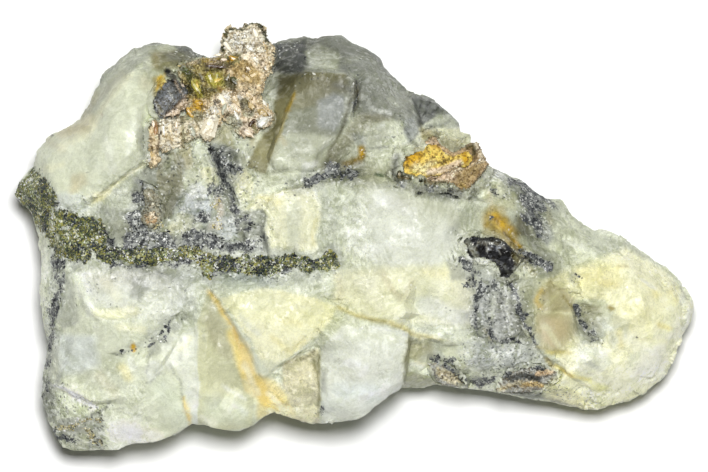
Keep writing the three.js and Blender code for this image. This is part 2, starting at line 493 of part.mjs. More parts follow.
// Random points inside an outline, none nearer than spacing to another or to a fixed point.
function scattered(outline, fixed, spacing, seed) {
  const random = randomSource(seed);
  const cells = new Map();
  const cellOf = (x, y) => `${Math.floor(x / spacing)},${Math.floor(y / spacing)}`;
  const put = (point) => {
    const key = cellOf(point[0], point[1]);
    cells.set(key, [...(cells.get(key) ?? []), point]);
  };
  const isFree = (x, y, reach) => {
    for (let i = -1; i <= 1; i++) {
      for (let j = -1; j <= 1; j++) {
        for (const [px, py] of cells.get(cellOf(x + i * spacing, y + j * spacing)) ?? []) {
          if (Math.hypot(px - x, py - y) < reach) {
            return false;
          }
        }
      }
    }
    return true;
  };
  outline.forEach(put);
  const points = [];
  for (const [x, y] of fixed) {
    if (isInside(outline, x, y) && isFree(x, y, STEP_WIDTH * 0.8)) {
      points.push([x, y]);
      put([x, y]);
    }
  }
  const xs = outline.map((p) => p[0]);
  const ys = outline.map((p) => p[1]);
  const [x0, x1, y0, y1] = [Math.min(...xs), Math.max(...xs), Math.min(...ys), Math.max(...ys)];
  const tries = Math.ceil((40 * (x1 - x0) * (y1 - y0)) / spacing ** 2);
  for (let k = 0; k < tries; k++) {
    const x = x0 + random() * (x1 - x0);
    const y = y0 + random() * (y1 - y0);
    if (isInside(outline, x, y) && isFree(x, y, spacing * 0.92)) {
      points.push([x, y]);
      put([x, y]);
    }
  }
  return points;
}

// A height field with straight sides between its corners.
function net(corners) {
  const faces = delaunay(corners);
  return (x, y) => {
    for (const [i, j, k] of faces) {
      const [a, b, c] = [corners[i], corners[j], corners[k]];
      const area = (b[0] - a[0]) * (c[1] - a[1]) - (b[1] - a[1]) * (c[0] - a[0]);
      const u = ((x - a[0]) * (c[1] - a[1]) - (y - a[1]) * (c[0] - a[0])) / area;
      const v = ((b[0] - a[0]) * (y - a[1]) - (b[1] - a[1]) * (x - a[0])) / area;
      if (u >= -1e-9 && v >= -1e-9 && u + v <= 1 + 1e-9) {
        return a[2] + u * (b[2] - a[2]) + v * (c[2] - a[2]);
      }
    }
    let nearest = corners[0];
    for (const corner of corners) {
      if (Math.hypot(corner[0] - x, corner[1] - y) < Math.hypot(nearest[0] - x, nearest[1] - y)) {
        nearest = corner;
      }
    }
    return nearest[2];
  };
}

// ---------- solids ----------

class SolidBuilder {
  constructor() {
    this.vertices = [];
    this.faces = [];
  }

  add(x, y, z) {
    this.vertices.push(x, y, z);
    return this.vertices.length / 3 - 1;
  }

  ring(points) {
    return points.map(([x, y, z]) => this.add(x, y, z));
  }

  // A wall between two rings that both run clockwise, seen from above; upper stands over lower.
  wall(upper, lower) {
    let i = 0;
    let j = 0;
    while (i < upper.length || j < lower.length) {
      const a = upper[i % upper.length];
      const b = lower[j % lower.length];
      if (j >= lower.length || (i + 0.5) / upper.length <= (j + 0.5) / lower.length) {
        this.faces.push([a, upper[(i + 1) % upper.length], b]);
        i += 1;
      } else {
        this.faces.push([a, lower[(j + 1) % lower.length], b]);
        j += 1;
      }
    }
  }

  // A face over a ring that is already there, and the points inside it.
  cap(ring, outline, inner, height, up) {
    const { faces } = triangulated(outline, inner);
    const innerIndices = inner.map(([x, y]) => this.add(x, y, height(x, y)));
    const indices = [...ring, ...innerIndices];
    for (const [a, b, c] of faces) {
      const corners = [indices[a], indices[b], indices[c]];
      this.faces.push(up ? corners : corners.reverse());
    }
  }

  geometry() {
    const geometry = new THREE.BufferGeometry();
    geometry.setAttribute("position", new THREE.Float32BufferAttribute(this.vertices, 3));
    geometry.setIndex(this.faces.flat());
    geometry.computeVertexNormals();
    return geometry;
  }
}

function plane({ at: [x0, y0, z0], slopeX, slopeY }) {
  return (x, y) => z0 + slopeX * (x - x0) + slopeY * (y - y0);
}

// ---------- pockets ----------

// The hollow that a piece lies in, a little wider than the piece.
function pocket(piece, floor) {
  const outline = moved(divided(piece.outline, EDGE_STEP, true), -POCKET_MARGIN, true);
  return { outline, floor: plane(floor) };
}

function cutBy(pockets, height) {
  return (x, y) => {
    let z = height(x, y);
    for (const { outline, floor } of pockets) {
      if (isInside(outline, x, y)) {
        z = Math.min(z, floor(x, y));
      }
    }
    return z;
  };
}

// Points along the foot and then along the lip of every pocket.
function pocketEdges(pockets) {
  return [POCKET_EDGE, -STEP_WIDTH].flatMap((inward) =>
    pockets.flatMap(({ outline }) => moved(outline, inward, true)));
}

// ---------- the calcite ----------

// From SMOOTH_SHARE in the middle of a smooth patch to 1 outside them all.
function roughnessAt(x, y) {
  const nearness = SMOOTH_PATCHES.map(([px, py, radius]) => Math.hypot(x - px, y - py) / radius);
  const t = Math.min(1, Math.max(0, 2 * Math.min(...nearness) - 1));
  return SMOOTH_SHARE + (1 - SMOOTH_SHARE) * t;
}

function calciteFace() {
  const base = net([...RIM, ...FACE]);
  const pockets = PIECES.filter((piece) => piece.floor).map((piece) => pocket(piece, piece.floor));
  const facets = FACETS.map((facet) => ({ outline: facet.outline, height: plane(facet) }));

  const height = (x, y) => {
    for (const facet of facets) {
      if (isInside(facet.outline, x, y)) {
        return facet.height(x, y);
      }
    }
    let z = base(x, y);
    for (const { drop, run, line } of STEPS) {
      const { distance, right } = nearestOnLine(line, x, y);
      if (right && distance < run) {
        z -= drop * (1 - distance / run) * Math.min(1, distance / (STEP_WIDTH / 2));
      }
    }
    const fromRim = nearestOnLine(RIM, x, y, true).distance;
    const rough = Math.min(1, fromRim / RELIEF_FADE) * roughnessAt(x, y);
    for (const { size, rise, pattern } of RELIEF) {
      z += rough * rise * brokenPlanes(x, y, size, pattern);
    }
    for (const { depth, width, line } of CRACKS) {
      const { distance } = nearestOnLine(line, x, y);
      z -= depth * Math.max(0, 1 - distance / width);
    }
    return z;
  };

  return { height: cutBy(pockets, height), pockets, facets };
}

// The points that keep the edges of pockets, facets, steps and cracks sharp.
function edgePoints(pockets, facets) {
  const points = pocketEdges(pockets);
  for (const { outline } of facets) {
    const edge = divided(outline, EDGE_STEP, true);
    points.push(...moved(edge, FACET_EDGE, true), ...moved(edge, -STEP_WIDTH, true));
  }
  for (const { line } of STEPS) {
    const edge = divided(line, EDGE_STEP, false);
    points.push(...moved(edge, -STEP_TOP), ...moved(edge, STEP_WIDTH));
  }
  for (const { line, width } of CRACKS) {
    const edge = divided(line, EDGE_STEP, false);
    points.push(...edge, ...moved(edge, width), ...moved(edge, -width));
  }
  return points;
}

function calcite() {
  const { height, pockets, facets } = calciteFace();
  const solid = new SolidBuilder();
  const rim = divided(RIM, RIM_STEP, true).map(([x, y, z]) => [x, y, Math.min(z, height(x, y))]);
  const rimRing = solid.ring(rim);
  const inner = scattered(rim, edgePoints(pockets, facets), FACE_SPACING, 5);
  solid.cap(rimRing, rim, inner, height, true);

  // Points nearer to the centre by a distance, at a share of the rim's height.
  const sunk = (every, inset, share, vary) =>
    rim.filter((_, i) => i % every === 0).map(([x, y, z], i) => {
      const radius = Math.hypot(x - CENTRE.x, y - CENTRE.y);
      const uneven = brokenPlanes(x, y, 7, 31 + every) + 0.5 * brokenPlanes(x, y, 3, 41 + i % 2);
      const scale = (radius - inset - vary * uneven) / radius;
      return [
        CENTRE.x + (x - CENTRE.x) * scale,
        CENTRE.y + (y - CENTRE.y) * scale,
        share === 0 ? 0 : Math.max(0.4, z * share + vary * brokenPlanes(x, y, 5, 51)),
      ];
    });

  let above = rimRing;
  for (const ring of SIDE_RINGS) {
    const below = solid.ring(sunk(ring.every, ring.inset, ring.height, ring.vary));
    solid.wall(above, below);
    above = below;
  }
  const flat = sunk(4, BACK_INSET, 0, 1.2);
  const flatRing = solid.ring(flat);
  solid.wall(above, flatRing);
  solid.cap(flatRing, flat, scattered(flat, [], BACK_SPACING, 7), () => 0, false);
  return solid.geometry();
}

// ---------- the pieces in and on the calcite ----------

function pieceTop({ top, lumps, lifts, name }) {
  const base = plane(top);
  const seed = name.length;
  return (x, y) => {
    let z = base(x, y) + lumps.rise * brokenPlanes(x, y, lumps.size, seed);
    for (const [liftX, liftY, radius, rise] of lifts) {
      const distance = Math.hypot(x - liftX, y - liftY);
      z += rise * Math.max(0, 1 - (distance / radius) ** 2);
    }
    return z;
  };
}

function pieceBottom(piece) {
  if (piece.seatedOn) {
    const carrier = PIECES.find((other) => other.name === piece.seatedOn);
    const carrierTop = plane(carrier.top);
    return (x, y) => carrierTop(x, y) + SEAT_GAP;
  }
  const floor = plane(piece.floor);
  const past = piece.hangingPast;
  return (x, y) => floor(x, y) + SEAT_GAP + (past ? past.rise * Math.max(0, y - past.y) : 0);
}

function pieceGeometry(piece) {
  const outline = divided(piece.outline, EDGE_STEP, true);
  const carried = PIECES.filter((other) => other.seatedOn === piece.name);
  const pockets = carried.map((other) => pocket(other, piece.top));
  const top = cutBy(pockets, pieceTop(piece));
  const bottom = pieceBottom(piece);
  const highest = (x, y) => Math.max(top(x, y), bottom(x, y) + LEAST_THICKNESS);
  const solid = new SolidBuilder();
  const edge = outline.map(([x, y]) => [x, y, highest(x, y)]);
  const upperRing = solid.ring(edge);
  const lowerRing = solid.ring(outline.map(([x, y]) => [x, y, bottom(x, y)]));
  const seed = piece.name.length;
  const inner = scattered(outline, pocketEdges(pockets), METAL_SPACING, seed);
  solid.wall(upperRing, lowerRing);
  solid.cap(upperRing, outline, inner, highest, true);
  solid.cap(lowerRing, outline, scattered(outline, [], BACK_SPACING, seed), bottom, false);
  return solid.geometry();
}

// ---------- the scene graph ----------

function namedMesh(name, geometry, color, roughness, metalness) {
  const material = new THREE.MeshStandardMaterial({ color, roughness, metalness, flatShading: true });
  const mesh = new THREE.Mesh(geometry, material);
  mesh.name = name;
  return mesh;
}

const group = new THREE.Group();
group.add(namedMesh("calcite", calcite(), 0xe6e6d6, 0.45, 0));
for (const piece of PIECES) {
  const { name, color, roughness, metalness } = piece;
  group.add(namedMesh(name, pieceGeometry(piece), color, roughness, metalness));
}

export default group;
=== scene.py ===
import math
from collections import namedtuple

import bmesh
import bpy
import numpy as np
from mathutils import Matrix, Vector
from mathutils.bvhtree import BVHTree


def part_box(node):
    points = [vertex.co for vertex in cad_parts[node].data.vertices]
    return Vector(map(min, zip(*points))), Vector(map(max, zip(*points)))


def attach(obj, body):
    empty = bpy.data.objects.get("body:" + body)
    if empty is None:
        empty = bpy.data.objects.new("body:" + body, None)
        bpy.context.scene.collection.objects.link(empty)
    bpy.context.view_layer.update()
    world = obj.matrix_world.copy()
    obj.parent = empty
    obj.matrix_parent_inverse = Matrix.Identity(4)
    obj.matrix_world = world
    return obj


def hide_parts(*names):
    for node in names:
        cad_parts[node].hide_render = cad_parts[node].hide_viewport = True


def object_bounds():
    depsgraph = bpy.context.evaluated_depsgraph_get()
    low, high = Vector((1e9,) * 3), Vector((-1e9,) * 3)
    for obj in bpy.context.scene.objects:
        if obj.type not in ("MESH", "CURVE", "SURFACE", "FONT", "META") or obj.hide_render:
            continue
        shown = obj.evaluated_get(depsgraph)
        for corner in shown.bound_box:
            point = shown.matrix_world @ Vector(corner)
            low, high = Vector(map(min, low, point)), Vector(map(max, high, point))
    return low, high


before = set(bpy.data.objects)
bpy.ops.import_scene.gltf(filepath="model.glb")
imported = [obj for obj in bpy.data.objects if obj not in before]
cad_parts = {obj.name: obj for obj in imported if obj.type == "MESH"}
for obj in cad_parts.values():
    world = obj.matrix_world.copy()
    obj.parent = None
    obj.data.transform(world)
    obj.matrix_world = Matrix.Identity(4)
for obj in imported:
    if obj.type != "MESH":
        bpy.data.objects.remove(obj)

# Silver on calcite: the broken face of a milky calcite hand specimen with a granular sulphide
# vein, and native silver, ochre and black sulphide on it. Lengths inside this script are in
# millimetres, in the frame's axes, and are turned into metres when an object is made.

MM = 0.001
MM_PER_METRE = 1000
CAD_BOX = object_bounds()

# ---------------------------------------------------------------- colours

# sRGB colours of the minerals.
PALETTE = {
    "calcite": (219, 223, 200), "cream": (242, 241, 206), "yellow": (232, 222, 150),
    "white": (241, 243, 236), "blue": (222, 228, 224), "sage": (196, 201, 181),
    "grey": (158, 161, 150), "deep_grey": (108, 111, 106), "beige": (214, 209, 176),
    "olive": (136, 132, 92), "dark_olive": (92, 88, 54), "ochre": (236, 208, 116),
    "orange": (186, 150, 60), "rust": (160, 120, 66), "mustard": (166, 142, 52),
    "green": (62, 92, 52), "black": (34, 35, 36), "under_dark": (104, 107, 104),
    "under_vein": (92, 96, 70), "gap": (140, 140, 122), "smoke": (172, 176, 166),
    "grain_brown": (168, 168, 150), "lump_black": (50, 51, 54), "lobe": (219, 223, 199),
    "bevel": (184, 188, 168), "putty": (178, 176, 146), "khaki": (172, 160, 104),
    "pale": (228, 231, 217), "ivory": (247, 247, 222), "mid_grey": (146, 149, 136),
    "dark_grey": (88, 91, 88), "olive_grey": (150, 148, 120), "cream_sage": (208, 209, 174),
    "window": (150, 153, 134), "lilac": (164, 168, 164), "shelf": (112, 114, 106),
    "ledge": (172, 174, 144), "steel_grey": (186, 190, 186), "silver_grey": (184, 186, 180),
    "pinkish": (238, 222, 200), "deep_ochre": (206, 168, 70), "champagne": (250, 244, 222),
    "tan_silver": (240, 224, 190), "gold_tan": (206, 184, 130), "brown": (88, 66, 40),
    "pink": (246, 232, 208), "copper": (228, 204, 168), "leaf_silver": (196, 174, 136),
    "steel": (150, 154, 160), "knob_grey": (120, 125, 130), "dark_moss": (74, 76, 40),
    "bright_moss": (190, 184, 84), "bright_ochre": (214, 172, 34), "pale_ochre": (240, 214, 112),
}


def linear(colour):
    """An sRGB colour of 0 to 255 as linear numbers."""
    c = np.asarray(colour, float) / 255
    return np.where(c <= 0.04045, c / 12.92, ((c + 0.055) / 1.055) ** 2.4)


def blended(colour, share, name):
    """Colours moved towards a palette colour by each point's share."""
    return colour + share[:, None] * (linear(PALETTE[name]) - colour)


# ---------------------------------------------------------------- noise


def lattice(ijk, seed):
    """A repeatable number from 0 to 1 for each whole-number place, mixed with large odd numbers."""
    n = ijk[..., 0] * 73856093 ^ ijk[..., 1] * 19349663 ^ ijk[..., 2] * 83492791
    n = (n + seed * 374761393) & 0xFFFFFFFF
    n = ((n ^ (n >> 15)) * 2246822519) & 0xFFFFFFFF
    n = ((n ^ (n >> 13)) * 3266489917) & 0xFFFFFFFF
    return ((n ^ (n >> 16)) & 0xFFFFFF) / 0xFFFFFF


def cells(points, size, seed):
    """The nearest jittered cell to each point: the offset from its middle, and its place."""
    p = points / size
    base = np.floor(p).astype(np.int64)
    best = np.full(len(p), np.inf)
    offset = np.zeros_like(p)
    place = np.zeros_like(base)
    for step in np.ndindex(3, 3, 3):
        ijk = base + np.array(step) - 1
        jitter = np.stack([lattice(ijk, seed + axis) for axis in range(3)], axis=1)
        d = p - ijk - jitter
        dist = (d * d).sum(axis=1)
        nearer = dist < best
        best = np.where(nearer, dist, best)
        offset[nearer] = d[nearer]
        place[nearer] = ijk[nearer]
    return offset, place


def broken(points, size, seed, tilt=1.4):
    """Broken ground: every cell is a small tilted plane. From about -1 to 1."""
    offset, place = cells(points, size, seed)
    value = lattice(place, seed + 10) - 0.5
    for axis in range(3):
        value = value + tilt * (lattice(place, seed + 11 + axis) - 0.5) * offset[:, axis]
    return value


def lumpy(points, size, seed):
    """Round lumps, from about -0.4 to 0.6."""
    offset, _ = cells(points, size, seed)
    return 0.6 - (offset ** 2).sum(axis=1) * 1.6


def smooth_noise(points, size, seed):
    """Soft hills, from -1 to 1."""
    p = points / size
    base = np.floor(p).astype(np.int64)
    t = p - base
    t = t * t * (3 - 2 * t)
    total = np.zeros(len(p))
    for i, j, k in np.ndindex(2, 2, 2):
        w = (t[:, 0] if i else 1 - t[:, 0]) * (t[:, 1] if j else 1 - t[:, 1])
        w = w * (t[:, 2] if k else 1 - t[:, 2])
        total += w * lattice(base + (i, j, k), seed)
    return total * 2 - 1


def rising(value, low, high):
    """A smooth step from 0 at low to 1 at high."""
    t = np.clip((value - low) / (high - low), 0, 1)
    return t * t * (3 - 2 * t)


# ---------------------------------------------------------------- strokes

# A line reaches radius from its points, an area fills its outline, and both fade out over the
# softness. Colour is a name in PALETTE, or None for a stroke that says only how much.
Stroke = namedtuple("Stroke", "kind colour strength soft radius points")


def new_stroke(kind, values):
    """A stroke from its values in the order in which they are written."""
    colour, values = (values[0], values[1:]) if isinstance(values[0], str) else (None, values)
    strength, soft, radius, *flat = values
    return Stroke(kind, colour, strength, soft, radius, np.asarray(flat, float).reshape(-1, 2))


def line(*values):
    """A stroke from its colour, where it has one, strength, softness, radius, x, y, x, y, ..."""
    return new_stroke("line", values)


def area(*values):
    """A stroke from its colour, where it has one, strength, softness, x, y, x, y, ..."""
    before_points = 3 if isinstance(values[0], str) else 2
    return new_stroke("area", (*values[:before_points], 0, *values[before_points:]))


def shade(factor, soft, radius, *flat):
    """Painted light or painted shade along a line: what the colour, or its red, green and blue, is
    multiplied by; below 1 it darkens and above 1 it lightens.
    """
    return factor, line(1, soft, radius, *flat)


def distance_to_line(xy, points, closed):
    """How far each place is from a line through the points, or from the outline they close."""
    if len(points) == 1:
        return np.hypot(*(xy - points[0]).T)
    best = np.full(len(xy), np.inf)
    ends = np.roll(points, -1, axis=0) if closed else points[1:]
    starts = points if closed else points[:-1]
    for a, b in zip(starts, ends):
        ab = b - a
        t = np.clip(((xy - a) @ ab) / max(ab @ ab, 1e-9), 0, 1)
        best = np.minimum(best, np.hypot(*(xy - a - t[:, None] * ab).T))
    return best


def inside(xy, outline):
    """Whether each place is inside an outline: it counts the edges to one side."""
    result = np.zeros(len(xy), bool)
    x, y = xy.T
    for a, b in zip(outline, np.roll(outline, 1, axis=0)):
        crosses = (a[1] > y) != (b[1] > y)
        dy = b[1] - a[1] if b[1] != a[1] else 1e-9
        result ^= crosses & (x < (b[0] - a[0]) * (y - a[1]) / dy + a[0])
    return result


def coverage(xy, stroke, spread=0.0):
    """How much a stroke, reaching further out by a spread, covers each point, from 0 to 1."""
    soft, radius = stroke.soft + spread, stroke.radius + spread / 2
    low = stroke.points.min(axis=0) - (radius + soft)
    high = stroke.points.max(axis=0) + (radius + soft)
    near = np.flatnonzero(((xy >= low) & (xy <= high)).all(axis=1))
    cover = np.zeros(len(xy))
    if not len(near):
        return cover
    part = xy[near]
    if stroke.kind == "area":
        depth = distance_to_line(part, stroke.points, closed=True)
        depth = np.where(inside(part, stroke.points), depth, -depth)
    else:
        depth = radius - distance_to_line(part, stroke.points, closed=False)
    cover[near] = rising(depth, -soft / 2, soft / 2)
    return cover


def warped(xyz, amount, seed):
    """The points' x and y, moved a little so that outlines painted on them turn natural."""
    moved = xyz[:, :2].copy()
    for axis in (0, 1):
        moved[:, axis] += amount * smooth_noise(xyz, 2.6, seed + axis)
        moved[:, axis] += 0.45 * amount * smooth_noise(xyz, 0.8, seed + 4 + axis)
    return moved


def painted(xyz, start, strokes, seed, amount):
    """Colours at the points: each stroke is painted over the ones before it."""
    xy = warped(xyz, amount, seed)
    colour = np.tile(linear(PALETTE[start]), (len(xyz), 1))
    for stroke in strokes:
        colour = blended(colour, coverage(xy, stroke) * stroke.strength, stroke.colour)
    return colour


def density(xyz, strokes, seed, amount=0.35, ragged=0.0, spread=0.0):
    """How thickly grains lie at the points, from 0 to 1, with ragged edges and small gaps, and
    reaching further out by a spread."""
    xy = warped(xyz, amount, seed)
    clear = np.ones(len(xyz))
    for stroke in strokes:
        clear *= 1 - stroke.strength * coverage(xy, stroke, spread)
    cover = 1 - clear
    if not ragged:
        return cover
    torn = smooth_noise(xyz, 1.2, seed + 20) + 0.8 * smooth_noise(xyz, 0.5, seed + 21)
    return np.where(cover > 0.03, rising(cover + ragged * torn, 0.25, 0.8), 0)


RAGGED = 0.42   # how torn the edges of the vein and of the patches of grains are

